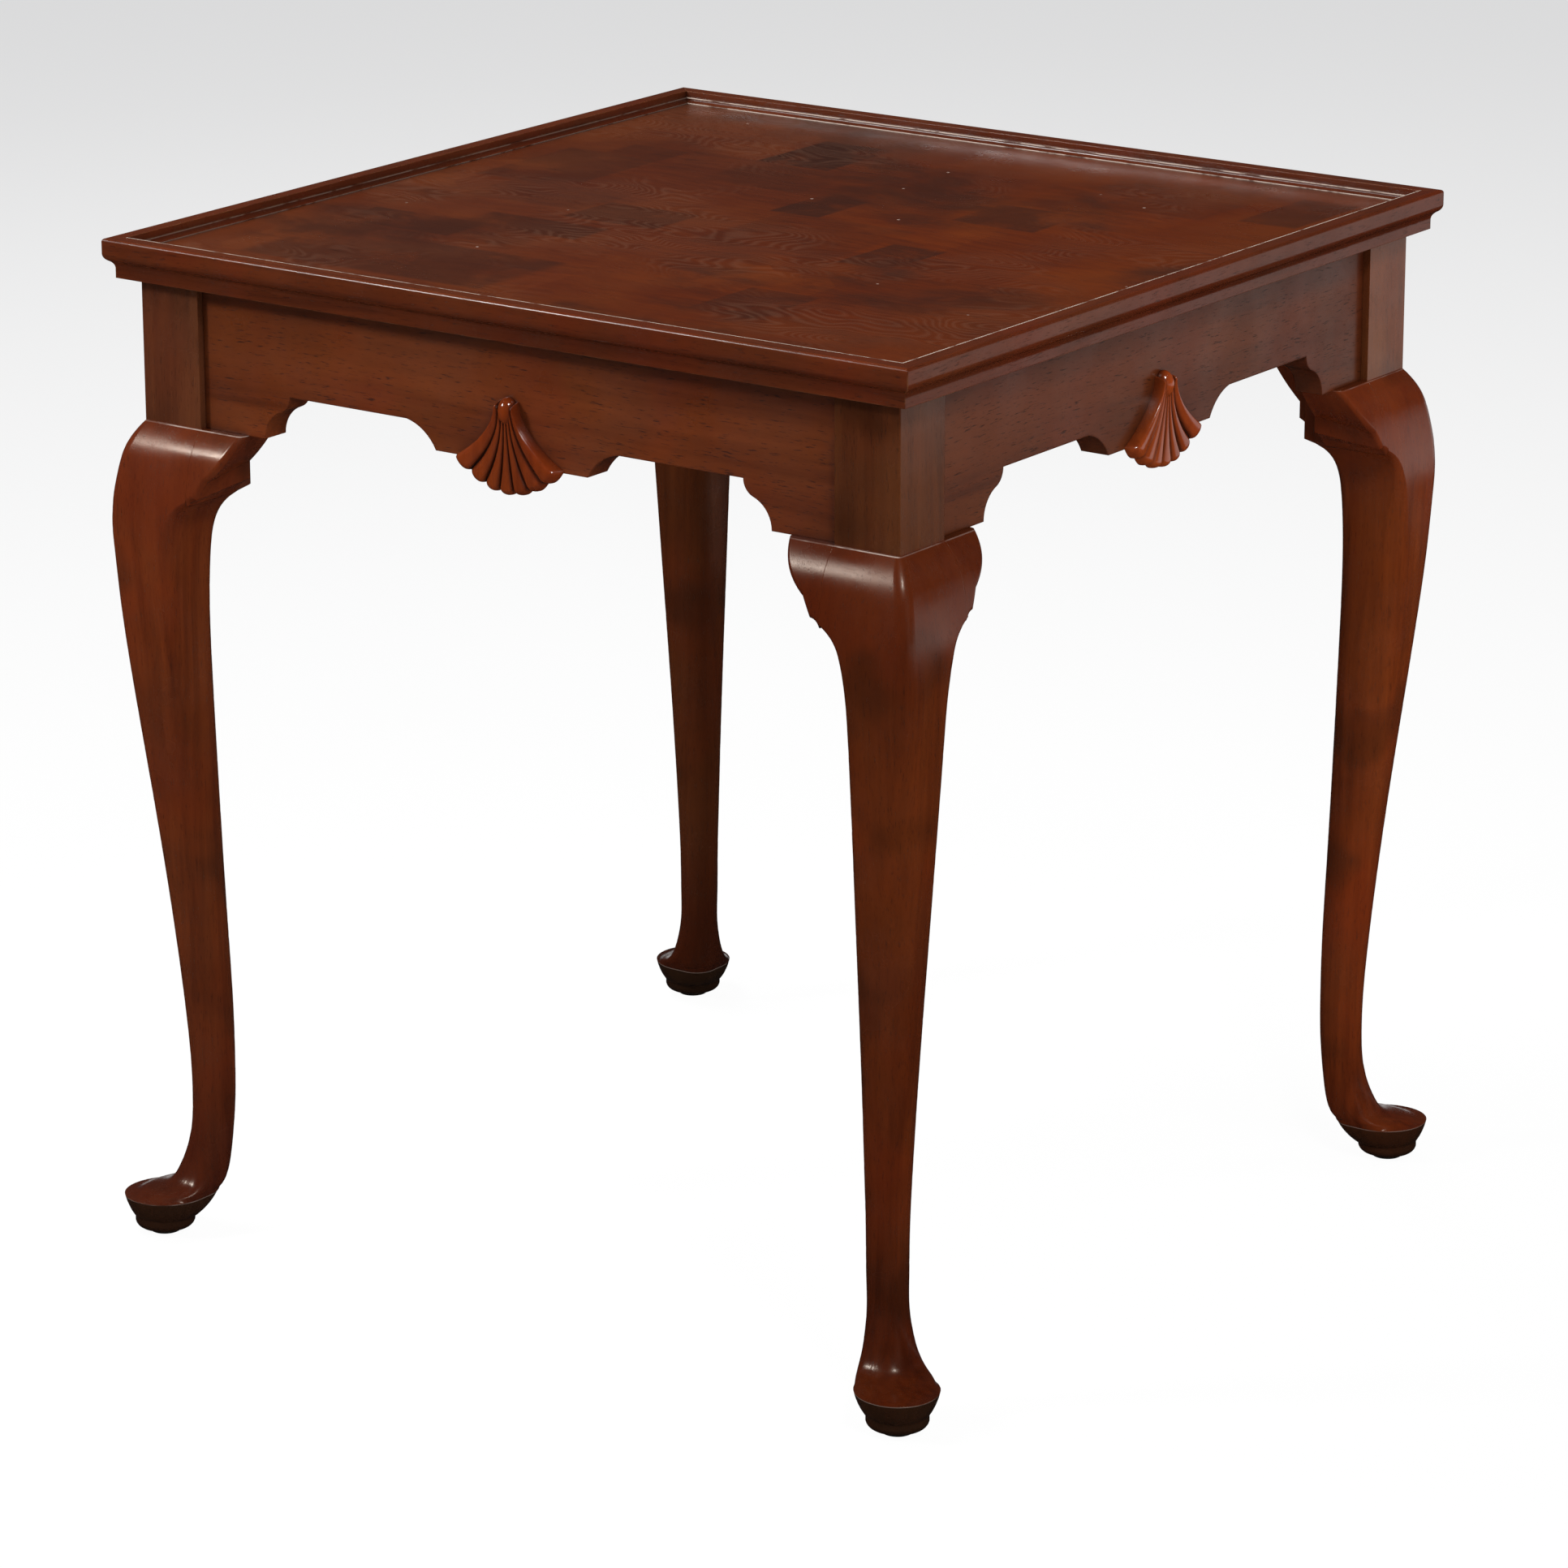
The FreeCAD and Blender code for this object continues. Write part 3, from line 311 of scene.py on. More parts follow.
small_cells = add_node(tree, "TexVoronoi", Vector=taken["Vector"],
                       Scale=times(tree, per_metre, SPECKS_TO_DENTS)).outputs
from_point = sums(tree, "DIVIDE", small_cells["Distance"],
                  times(tree, radius_in_cells, SPECK_TO_DENT))
specked = spread(tree, chances(tree, small_cells)[1], CLEAN_CELLS, CLEAN_CELLS + 0.03)
speck = times(tree, spread(tree, from_point, 0.4, 1.0, 1.0, 0.0), specked)
feed(tree, given["Speck"], speck)
print("distress group with", len(tree.nodes), "nodes")

# %% [markdown]
# ## Stained mahogany
# One function builds every solid mahogany finish from the same three groups, with its own grain
# direction and colours: legs are upright grain, aprons and rails run level. Colours are linear,
# and they are the colours that the wood shows in plain light.

# %% Mahogany finishes
GRAIN_TURN = {"x": (0, 0, 0), "y": (0, 0, math.radians(-90)), "z": (0, math.radians(90), 0)}
# Dark glaze, and also the colour of painted shade in corners, crevices and gouge cuts.
GLAZE_AND_SHADE = (0.010, 0.004, 0.003, 1)
KNOCK_RADIUS = 0.0006


def stained_mahogany(name, grain, dark, middle, light, red, corner=0.75, edge=0.5, gloss=0.33,
                     specular=0.3, coat=0.1, ripple=0.35, pores=0.5, edge_width=0.0014,
                     worn=None, knock_spacing=0.05, glow=(1, 1, 1, 1), tint=None, last=None):
    """A stained and lacquered mahogany, with dark glaze in pores, dents and specks and painted
    shade in its corners.

    Dark, middle, light and red are the wood's colours, and worn is the colour of its rubbed
    edges. Corner is the strength of the painted shade that darkens the corners like glaze, and
    edge, pores and ripple are strengths too. Gloss is the roughness of the lacquer and glow the
    colour of its mirror image. Tint and last are functions that change the colour by place,
    before and after the rubbing, the glaze and the painted corner shade.
    """
    material, tree, shader = start_material(name)
    where = object_place(tree)
    along = add_node(tree, "Mapping", Vector=where, Rotation=GRAIN_TURN[grain]).outputs[0]
    fibres = use_group(tree, mahogany_grain, Vector=along)
    shade = use_group(tree, stain_and_corner_shade, Vector=where, Edge_Width=edge_width)
    knocks = use_group(tree, distress, Vector=where, Spacing=knock_spacing, Radius=KNOCK_RADIUS)

    colour = mix(tree, fibres["Streaks"], dark, middle)
    colour = lay(tree, colour, fibres["Ribbon"], 0.55, light)
    colour = lay(tree, colour, shade["Red"], 0.45, red)
    colour = lay(tree, colour, shade["Cloud"], 0.4, dark)
    if tint:
        colour = tint(tree, where, colour)
    colour = lay(tree, colour, shade["Edge"], edge, worn or light)
    spots = highest(tree, times(tree, fibres["Pores"], pores), knocks["Dent"],
                    times(tree, knocks["Speck"], 0.6))
    # Painted shade: corners found by ambient occlusion darken like the glaze in pores, dents and
    # specks.
    spots_and_shade = sums(tree, "MAXIMUM", spots, times(tree, shade["Corner"], corner), clamp=True)
    colour = mix(tree, spots_and_shade, colour, GLAZE_AND_SHADE)
    if last:
        colour = last(tree, where, colour)
    feed(tree, shader.inputs["Base Color"], colour)

    roughness = spread(tree, noise(tree, where, 22, 4, 0.6), 0.3, 0.7, gloss - 0.06, gloss + 0.08)
    feed(tree, shader.inputs["Roughness"], sums(tree, "ADD", roughness, times(tree, spots_and_shade, 0.15)))
    hollows = sums(tree, "ADD", knocks["Dent"], times(tree, fibres["Pores"], 0.08))
    height = sums(tree, "SUBTRACT", times(tree, knocks["Rim"], 0.25), hollows)
    height = sums(tree, "ADD", height, times(tree, noise(tree, where, 45, 2), ripple))
    add_relief(tree, shader, height, 0.5, 0.0006, shade["Normal"])
    shader.inputs["Specular IOR Level"].default_value = specular
    shader.inputs["Specular Tint"].default_value = glow
    shader.inputs["Coat Weight"].default_value = coat
    shader.inputs["Coat Roughness"].default_value = 0.12
    return material


# %% [markdown]
# The arrises and steps inside the gallery carry thin broken pale lines. On the top arris of the
# front and right rails a line is mostly painted reflection and partly rubbed bare wood, and on the
# steps of the back rails it is partly bare wood and partly painted highlight. A line is the overlap
# of
# two ranges: how far in from the gallery's outer face a point lies, and how high it is. A noise
# breaks each line up.

# %% Lines on the gallery
WORN_AND_GLINT_LINES = [  # distance in, height, the rails where it is strong, strength there, elsewhere
    ((0.0110, 0.0122), (0.6880, 0.6910), "near", 0.95, 0.0),
    ((0.0134, 0.0139), (0.6850, 0.6860), "back", 0.85, 0.15),
    ((0.0166, 0.0175), (0.6816, 0.6828), "back", 0.9, 0.15),
]
# Pale colour of the gallery lines, partly bare wood and partly painted highlight, and the worn
# colour of the rails' rubbed edges.
BARE_RAIL_GLINT, WORN_RAIL = (0.62, 0.50, 0.42, 1), (0.30, 0.12, 0.05, 1)
gallery_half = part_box("rim_right")[1][0]


def between(tree, value, ends):
    """1 where a value lies between two ends, else 0."""
    low, high = ends
    return sums(tree, "COMPARE", value, (low + high) / 2, (high - low) / 2)


def worn_and_glinting_lines(tree, where, colour):
    """Thin broken pale lines, bare wood and painted highlight: the top arris at front and right,
    the steps at the back.
    """
    axes = axes_of(tree, where)
    sideways, deep = (sums(tree, "ABSOLUTE", axes[axis]) for axis in "XY")
    inwards = sums(tree, "SUBTRACT", gallery_half, highest(tree, sideways, deep))
    past_diagonal = {"near": sums(tree, "SUBTRACT", axes["X"], axes["Y"]),
                     "back": sums(tree, "SUBTRACT", axes["Y"], sideways)}
    rails = {name: sums(tree, "GREATER_THAN", past, 0.0) for name, past in past_diagonal.items()}
    dashes = spread(tree, noise(tree, where, 55, 3, 0.6), 0.36, 0.5, 0.1, 1.0)
    mask = 0.0
    for distance, height, strong_rails, strength, elsewhere in WORN_AND_GLINT_LINES:
        chosen = spread(tree, rails[strong_rails], 0.0, 1.0, elsewhere, strength)
        line = times(tree, between(tree, inwards, distance), between(tree, axes["Z"], height),
                     chosen)
        mask = highest(tree, mask, line)
    # Partly rubbed bare wood, partly painted highlight and reflection, laid over the rail's colour.
    return lay(tree, colour, mask, dashes, BARE_RAIL_GLINT)


# %% [markdown]
# The pieces that run along Y have darker colours of their own than those along X, and mirror a
# warmer light.

# %% Aprons and gallery
WARM_GLOW = (1.0, 0.88, 0.74, 1)
APRON_LOOK = dict(corner=0.5, pores=0.75)
RAIL_LOOK = dict(gloss=0.2, edge=0.7, ripple=0.1, edge_width=0.0008, worn=WORN_RAIL,
                 last=worn_and_glinting_lines)
apron_x = stained_mahogany(
    "apron_mahogany_x", "x", (0.076, 0.0150, 0.0036, 1), (0.145, 0.0272, 0.0060, 1),
    (0.242, 0.056, 0.0118, 1), (0.180, 0.0253, 0.006, 1), **APRON_LOOK)
apron_y = stained_mahogany(
    "apron_mahogany_y", "y", (0.058, 0.0125, 0.004, 1), (0.098, 0.0200, 0.005, 1),
    (0.145, 0.035, 0.009, 1), (0.122, 0.0185, 0.005, 1), glow=WARM_GLOW, **APRON_LOOK)
rail_x = stained_mahogany(
    "rail_mahogany_x", "x", (0.066, 0.0140, 0.0055, 1), (0.121, 0.0245, 0.0078, 1),
    (0.170, 0.038, 0.009, 1), (0.140, 0.0175, 0.0045, 1), corner=0.6, **RAIL_LOOK)
rail_y = stained_mahogany(
    "rail_mahogany_y", "y", (0.060, 0.0125, 0.0045, 1), (0.108, 0.021, 0.007, 1),
    (0.160, 0.036, 0.009, 1), (0.130, 0.017, 0.005, 1), specular=0.24, glow=WARM_GLOW,
    **RAIL_LOOK)
print("aprons and rails:", [material.name for material in (apron_x, apron_y, rail_x, rail_y)])

# %% [markdown]
# The legs are one piece of wood from the floor to the tray, but the maker shaded them by eye:
# the square post above the knee is browner and darker, the knee itself deep red, the ankle dark,
# and the pad nearly black below its edge. Each leg has its own factors on red, green and blue:
# for three legs they are the leg's own stain, and on the back left leg they are painted shade.

# %% Leg finish
POST_FOOT, KNEE_FOOT, PAD_EDGE = 0.568, 0.47, 0.0275  # heights above the floor
ANKLE, SHANK = (0.03, 0.16), (0.05, 0.42)
KNEE_RED, SMUDGE_BROWN = (0.085, 0.0115, 0.0035, 1), (0.036, 0.010, 0.0035, 1)
PAD_BLACK, BARE_EDGE = (0.018, 0.0105, 0.005, 1), (0.55, 0.44, 0.38, 1)
POST_FACTOR, ANKLE_FACTOR = (0.85, 1.25, 2.0, 1), (0.64, 0.57, 0.66, 1)
SHANK_FACTOR = (0.70, 0.72, 0.88, 1)
# Factors by leg: the front legs and the back right one get their own stain, the back left gets
# painted shade.
LEG_TONES_AND_SHADE = {  # left, right
    "front": ((1.36, 1.52, 1.85, 1), (0.90, 0.91, 0.92, 1)),
    "back": ((0.56, 0.70, 0.95, 1), (1.50, 1.52, 1.45, 1)),
}


def leg_tint(tree, where, colour):
    """Stain by height and by leg, and painted shade on the back left leg."""
    axes = axes_of(tree, where)
    height = axes["Z"]
    post = spread(tree, height, POST_FOOT - 0.001, POST_FOOT + 0.002)
    above_shank = spread(tree, height, KNEE_FOOT, KNEE_FOOT + 0.05)
    knee = sums(tree, "SUBTRACT", above_shank, post, clamp=True)
    colour = lay(tree, colour, knee, 0.45, KNEE_RED)
    colour = mix(tree, post, colour, POST_FACTOR, way="MULTIPLY")
    smudge = spread(tree, noise(tree, where, 17, 2, 0.4), 0.54, 0.72, 0.0, 0.5)
    colour = mix(tree, smudge, colour, SMUDGE_BROWN)

    right, back = (spread(tree, axes[axis], -0.1, 0.1) for axis in "XY")
    front_pair, back_pair = (mix(tree, right, *LEG_TONES_AND_SHADE[pair]) for pair in ("front", "back"))
    leg_tone_and_shade = mix(tree, back, front_pair, back_pair)
    colour = mix(tree, 1.0, colour, leg_tone_and_shade, way="MULTIPLY")
    ankle = spread(tree, height, *ANKLE, 1.0, 0.0)
    colour = mix(tree, ankle, colour, ANKLE_FACTOR, way="MULTIPLY")
    front_left = times(tree, outside(tree, back), outside(tree, right))
    left_shank = times(tree, spread(tree, height, *SHANK, 1.0, 0.0), front_left)
    colour = mix(tree, left_shank, colour, SHANK_FACTOR, way="MULTIPLY")
    pad = spread(tree, height, PAD_EDGE - 0.0012, PAD_EDGE, 1.0, 0.0)
    return lay(tree, colour, pad, 0.75, PAD_BLACK)


def bare_edges(tree, where, colour):
    """The top edge of the knee and the edge of the pad are rubbed to a thin pale line."""
    axes = axes_of(tree, where)
    broken = spread(tree, noise(tree, where, 38, 3, 0.6), 0.34, 0.55, 0.1, 0.7)
    knee_top = sums(tree, "COMPARE", axes["Z"], POST_FOOT - 0.0004, 0.0003)
    pad_ring = sums(tree, "COMPARE", axes["Z"], PAD_EDGE - 0.0005, 0.0003)
    sideways, deep = (sums(tree, "ABSOLUTE", axes[axis]) for axis in "XY")
    fronts = spread(tree, sums(tree, "SUBTRACT", deep, sideways), -0.001, 0.001, 0.25, 1.0)
    mask = highest(tree, times(tree, knee_top, broken, fronts), times(tree, broken, 0.4, pad_ring))
    return mix(tree, mask, colour, BARE_EDGE)


def shell_tint(tree, where, colour):
    """Painted shade and glaze in the gouge cuts, which the shell's own mesh marks. The right shell
    is paler, partly its own tone and partly painted sheen.
    """
    to_right = spread(tree, axes_of(tree, where)["X"], 0.2, 0.28)
    # The right shell's paler colour is partly its own tone and partly painted sheen.
    colour = mix(tree, to_right, colour, (1.55, 1.65, 1.7, 1), way="MULTIPLY")
    cut = add_node(tree, "Attribute", {"attribute_name": "gouge"}).outputs["Fac"]
    # Painted shade and glaze: the deep part of each gouge cut turns nearly black.
    return mix(tree, spread(tree, cut, 0.5, 0.92, 0.0, 0.97), colour, GLAZE_AND_SHADE)


leg_wood = stained_mahogany(
    "leg_mahogany", "z", (0.062, 0.0105, 0.0025, 1), (0.118, 0.0195, 0.0035, 1),
    (0.175, 0.036, 0.007, 1), (0.150, 0.0185, 0.0035, 1), corner=0.35, gloss=0.22, specular=0.36,
    ripple=0.3, pores=0.4, edge_width=0.0007, knock_spacing=0.07, glow=(1.0, 0.84, 0.68, 1),
    tint=leg_tint, last=bare_edges)
shell_wood = stained_mahogany(
    "shell_mahogany", "z", (0.118, 0.0175, 0.0030, 1), (0.198, 0.030, 0.0045, 1),
    (0.290, 0.053, 0.009, 1), (0.255, 0.030, 0.005, 1), corner=0.8, gloss=0.14, specular=0.65,
    coat=0.2, pores=0.2, edge_width=0.0007, tint=shell_tint)
print("legs and shells:", leg_wood.name, shell_wood.name)

# %% [markdown]
# ## Tray veneer
# The floor of the tray is a figured veneer: a smoky, swirling cut with an orange border. The
# place of each point is first bent by a slow noise, so that everything drawn on it flows. The
# swirls are contour lines of a second noise, which is how growth rings look where a root or a
# crotch is sliced flat.

# %% Bend the veneer and draw its rings
WARP = 0.055
RINGS = 88
veneer, tree, shader = start_material("tray_veneer")
where = object_place(tree)
axes = axes_of(tree, where)
warp_noise = add_node(tree, "TexNoise", Vector=where, Scale=9.0, Detail=3.0).outputs["Color"]
pushed = vector_sums(tree, "MULTIPLY_ADD", warp_noise, (WARP, WARP, 0), where)[0]
bent = vector_sums(tree, "SUBTRACT", pushed, (WARP / 2, WARP / 2, 0))[0]

contours = times(tree, noise(tree, stretch(tree, bent, 3.5, 8, 1), 1, 2.5, 0.5), RINGS)
ring_lines = spread(tree, sums(tree, "PINGPONG", contours, 0.5), 0.0, 0.4, 1.0, 0.0)
swirl_place = sums(tree, "ADD", noise(tree, where, 7, 2),
                   spread(tree, noise(tree, where, 3.1, 1), 0.4, 0.6, -0.12, 0.12))
swirls = times(tree, ring_lines, spread(tree, swirl_place, 0.47, 0.66))

# %% [markdown]
# Some leaves of the veneer came out smoky. They are nearly straight oblongs at listed places,
# hardly bent by the warp, and a finer noise leaves them patchy inside. More smoke drifts over
# the rest of the tray.

# %% Smoke
SMOKY_LEAVES = [  # middle x, middle y, half width, half depth, strength
    (-0.110, 0.205, 0.030, 0.043, 0.95), (-0.2185, 0.143, 0.025, 0.017, 0.5),
    (-0.234, 0.072, 0.040, 0.055, 0.5), (-0.016, 0.0635, 0.020, 0.030, 0.8),
    (0.062, 0.136, 0.011, 0.018, 0.6), (0.113, 0.108, 0.034, 0.032, 0.7),
    (0.260, 0.228, 0.022, 0.043, 0.6), (-0.101, -0.032, 0.038, 0.027, 0.6),
    (0.113, -0.038, 0.021, 0.033, 0.7), (-0.136, -0.095, 0.049, 0.020, 0.65),
    (-0.211, -0.130, 0.049, 0.023, 0.75), (-0.147, -0.220, 0.100, 0.046, 0.6),
    (0.118, -0.197, 0.027, 0.036, 0.6), (-0.032, 0.125, 0.107, 0.036, 0.4),
    (0.165, 0.215, 0.052, 0.043, 0.35), (0.030, -0.020, 0.055, 0.055, 0.3),
    (-0.190, -0.010, 0.050, 0.030, 0.3),
]
LEAF_BEND = 0.08  # share of the warp that reaches the edges of a smoky leaf
smoke = spread(tree, noise(tree, stretch(tree, bent, 6, 9, 1), 1, 4, 0.6), 0.48, 0.68, 0.0, 0.72)
leaf_axes = axes_of(tree, mix(tree, LEAF_BEND, where, bent, kind="VECTOR"))
for x, y, half_x, half_y, strength in SMOKY_LEAVES:
    off_middle = []
    for axis, middle, half in (("X", x, half_x), ("Y", y, half_y)):
        off = sums(tree, "ABSOLUTE", sums(tree, "SUBTRACT", leaf_axes[axis], middle))
        off_middle.append(sums(tree, "DIVIDE", off, half))
    inside = spread(tree, highest(tree, *off_middle), 0.93, 1.05, strength, 0.0)
    smoke = highest(tree, smoke, inside)
patchy = spread(tree, noise(tree, bent, 26, 5, 0.65), 0.3, 0.55, 0.35, 1.0)
smoke = times(tree, smoke, patchy)
print("veneer with", len(SMOKY_LEAVES), "smoky leaves")

# %% [markdown]
# The colour is laid on like the real finish, one thin coat over another. It is warmer towards
# the right and carries a painted greyish reflection towards the left, it is orange along the
# border, and every leaf of veneer differs a little in tone. The swirl lines go on paler, partly
# figure and partly painted sheen. Pale flecks and short dark pores come last, and painted shade
# darkens the corner under the gallery.

# %% Colour of the veneer
LEAF = 0.081
from_middle = highest(tree, sums(tree, "ABSOLUTE", axes["X"]), sums(tree, "ABSOLUTE", axes["Y"]))
border = times(tree, spread(tree, from_middle, 0.20, 0.285),
               spread(tree, noise(tree, where, 16, 3), 0.3, 0.6, 0.3, 1.0))
leaves = add_node(tree, "TexVoronoi", {"distance": "CHEBYCHEV"}, Vector=where, Scale=1 / LEAF,
                  Randomness=0.35).outputs
leaf_tone = chances(tree, leaves)[0]
warm_right_sheen_left = spread(tree, axes["X"], -0.25, 0.25)
patches = spread(tree, noise(tree, bent, 11, 4), 0.42, 0.66)
streaks = spread(tree, noise(tree, stretch(tree, bent, 14, 240, 1), 1, 5, 0.6), 0.3, 0.7)
fine = noise(tree, stretch(tree, where, 60, 900, 1), 1, 3, 0.6)
fleck_cells = add_node(tree, "TexVoronoi", Vector=where, Scale=48.0).outputs
flecks = times(tree, spread(tree, fleck_cells["Distance"], 0.03, 0.07, 1.0, 0.0),
               spread(tree, chances(tree, fleck_cells)[1], 0.77, 0.79))
crevice_shade = use_group(tree, stain_and_corner_shade, Vector=where, Reach=0.02)["Corner"]

colour = mix(tree, streaks, (0.074, 0.0125, 0.004, 1), (0.120, 0.0205, 0.004, 1))
colour = lay(tree, colour, patches, 0.55, (0.170, 0.036, 0.006, 1))
colour = lay(tree, colour, border, 0.5, (0.150, 0.033, 0.005, 1))
colour = lay(tree, colour, warm_right_sheen_left, 0.3, (0.160, 0.027, 0.004, 1))
# Painted reflection: a greyish sheen laid on towards the left of the tray.
colour = mix(tree, spread(tree, warm_right_sheen_left, 0.0, 0.8, 0.4, 0.0), colour, (0.084, 0.026, 0.014, 1))
colour = mix(tree, spread(tree, leaf_tone, 0.0, 1.0, 0.0, 0.35), colour,
             (0.062, 0.0105, 0.0045, 1))
colour = lay(tree, colour, smoke, 0.92, (0.032, 0.0115, 0.0075, 1))
# The pale swirl lines are partly the veneer's figure and partly painted sheen where the grain
# catches light.
colour = lay(tree, colour, swirls, 0.17, (0.190, 0.095, 0.060, 1))
colour = mix(tree, spread(tree, fine, 0.56, 0.72, 0.0, 0.45), colour, GLAZE_AND_SHADE)
colour = lay(tree, colour, flecks, 0.75, (0.50, 0.38, 0.32, 1))
# Painted shade in the corner under the gallery, from ambient occlusion.
colour = lay(tree, colour, crevice_shade, 0.55, GLAZE_AND_SHADE)
feed(tree, shader.inputs["Base Color"], colour)

# %% Lacquer of the veneer
roughness = sums(tree, "ADD", spread(tree, noise(tree, where, 18, 4), 0.3, 0.7, 0.26, 0.36),
                 times(tree, swirls, 0.08))
feed(tree, shader.inputs["Roughness"], roughness)
relief = sums(tree, "ADD", times(tree, noise(tree, where, 30, 2), 0.5), times(tree, flecks, 0.6))
relief = sums(tree, "SUBTRACT", relief, spread(tree, fine, 0.56, 0.72, 0.0, 0.08))
add_relief(tree, shader, relief, 0.35, 0.0005)
shader.inputs["Specular Tint"].default_value = (1.0, 0.9, 0.8, 1)
shader.inputs["Specular IOR Level"].default_value = 0.27
print("veneer with", len(tree.nodes), "nodes")

# %% [markdown]
# ## Hidden wood, screws and glides
# Underneath, the blocks and cleats are plain poplar as it left the plane: pale, a little green,
# with long soft streaks. The grain group serves again, with other colours.
# Screws are bright steel with fine scratches, and the glides under the feet are dull brown
# plastic, scuffed by the floor.

# %% Poplar
poplar, tree, shader = start_material("poplar")
where = object_place(tree)
fibres = use_group(tree, mahogany_grain, Vector=where)
shade = use_group(tree, stain_and_corner_shade, Vector=where, Reach=0.015)
colour = mix(tree, fibres["Ribbon"], (0.46, 0.34, 0.19, 1), (0.36, 0.29, 0.15, 1))
colour = lay(tree, colour, fibres["Streaks"], 0.4, (0.27, 0.19, 0.10, 1))
# Painted shade: corners found by ambient occlusion darken.
colour = lay(tree, colour, shade["Corner"], 0.5, (0.09, 0.055, 0.03, 1))
feed(tree, shader.inputs["Base Color"], colour)
roughness = spread(tree, noise(tree, where, 60, 3), 0.3, 0.7, 0.62, 0.78)
feed(tree, shader.inputs["Roughness"], roughness)
add_relief(tree, shader, fibres["Streaks"], 0.4, 0.0005, shade["Normal"])

# %% Steel and plastic
steel, tree, shader = start_material("screw_steel")
where = object_place(tree)
scratches = noise(tree, where, 1400, 3, 0.6)
shade = use_group(tree, stain_and_corner_shade, Vector=where, Reach=0.004, Edge_Width=0.0004)
colour = mix(tree, spread(tree, scratches, 0.35, 0.65), (0.42, 0.41, 0.38, 1),
             (0.58, 0.57, 0.53, 1))
# Painted shade: corners found by ambient occlusion darken.
colour = lay(tree, colour, shade["Corner"], 0.7, (0.05, 0.045, 0.04, 1))
feed(tree, shader.inputs["Base Color"], colour)
feed(tree, shader.inputs["Roughness"], spread(tree, scratches, 0.3, 0.7, 0.28, 0.45))
add_relief(tree, shader, scratches, 0.2, 0.0001, shade["Normal"])
shader.inputs["Metallic"].default_value = 1

glide, tree, shader = start_material("glide_plastic")
where = object_place(tree)
scuffs = noise(tree, stretch(tree, where, 200, 200, 60), 1, 4, 0.65)
shade = use_group(tree, stain_and_corner_shade, Vector=where, Reach=0.006, Edge_Width=0.0006)
colour = mix(tree, spread(tree, scuffs, 0.4, 0.7), (0.022, 0.016, 0.012, 1),
             (0.048, 0.038, 0.030, 1))
colour = lay(tree, colour, shade["Edge"], 0.5, (0.10, 0.085, 0.07, 1))
feed(tree, shader.inputs["Base Color"], colour)
feed(tree, shader.inputs["Roughness"], spread(tree, scuffs, 0.3, 0.7, 0.42, 0.62))
add_relief(tree, shader, scuffs, 0.3, 0.0002, shade["Normal"])
print("finishes ready:", len(bpy.data.materials))

# %% Give the table's pieces their finishes
FINISHES = {
    "top_panel": veneer, "rim_front": rail_x, "rim_back": rail_x, "rim_left": rail_y,
    "rim_right": rail_y, "apron_front": apron_x, "apron_back": apron_x, "apron_left": apron_y,
    "apron_right": apron_y, "leg": leg_wood, "knee_block": leg_wood, "shell": shell_wood,
    "corner_block": poplar, "cleat": poplar, "mitre_splines": poplar,
    "corner_block_screws": steel, "cleat_top_screws": steel, "cleat_apron_screws": steel,
    "glide": glide,
}
for name, piece in cad_nodes.items():
    family = max((key for key in FINISHES if name.startswith(key)), key=len)
    for slot in piece.material_slots:
        slot.material = FINISHES[family]
print(len(cad_nodes), "pieces have", len(set(FINISHES.values())), "finishes")

# %% [markdown]
# ## Carved shells
# Each apron carries a carved fan: seven ribs that spread from a small knob and curl outwards,
# parted by narrow gouge cuts, with round ends below the apron's edge. A fan is a grid that has
# been pinched at one end, so each shell starts as a flat grid. Its columns become the ribs'
# cross-sections and its rows run from knob to tip. The grid is then moved point by point, given
# a flat back by an extrusion, and smoothed by one level of subdivision.

# %% Proportions of the fan
RIBS, POINTS_PER_RIB, ROWS = 7, 16, 56
HALF_RIBS, OUTER_RIB = RIBS / 2, RIBS // 2
shell_low, shell_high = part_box("shell_front")
apron_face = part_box("apron_front")[0][1]
SHELL_TOP, TIP_HEIGHT = shell_high[2], shell_low[2]
NECK_HEIGHT = SHELL_TOP - 0.0100
NECK_HALF, TIP_HALF = 0.0060, 0.0362  # middle of the outermost rib, at the neck and at the tip
FLARE = 1.95  # power with which the fan widens on its way down
STRAND_RISE = 0.0070  # the outermost ribs begin higher, beside the knob
TIP_RISE = 0.0138  # the outermost ribs end higher than the middle one
SCALLOP = 0.0026  # how far the gouge cuts nick the tip
CROWN = 0.0007  # how far a rib's middle stands above its sides
GOUGE_DEPTH, GOUGE_TO_WIDTH, GOUGE_POWER = 0.0030, 0.13, 4.5
BODY, AT_NECK, AT_TIP, AT_SIDES = 0.0050, 0.0012, 0.0018, 0.0014  # how far the fan stands out
HEAD_END, TIP_START, SIDE_START = 0.07, 0.89, HALF_RIBS - 0.16  # where its edges roll over
STRAIGHT_PART, ROLLED_PART = 0.93, 0.07  # shares of its length above and in the rolled tip
print("a shell reaches from", round(TIP_HEIGHT, 4), "to", round(SHELL_TOP, 4), "and stands out",
      round(apron_face - shell_low[1], 4))


def rolled(amount, start, end):
    """Angle of a quarter round that begins at start and ends at end."""
    return max(0.0, (amount - start) / (end - start)) * math.pi / 2


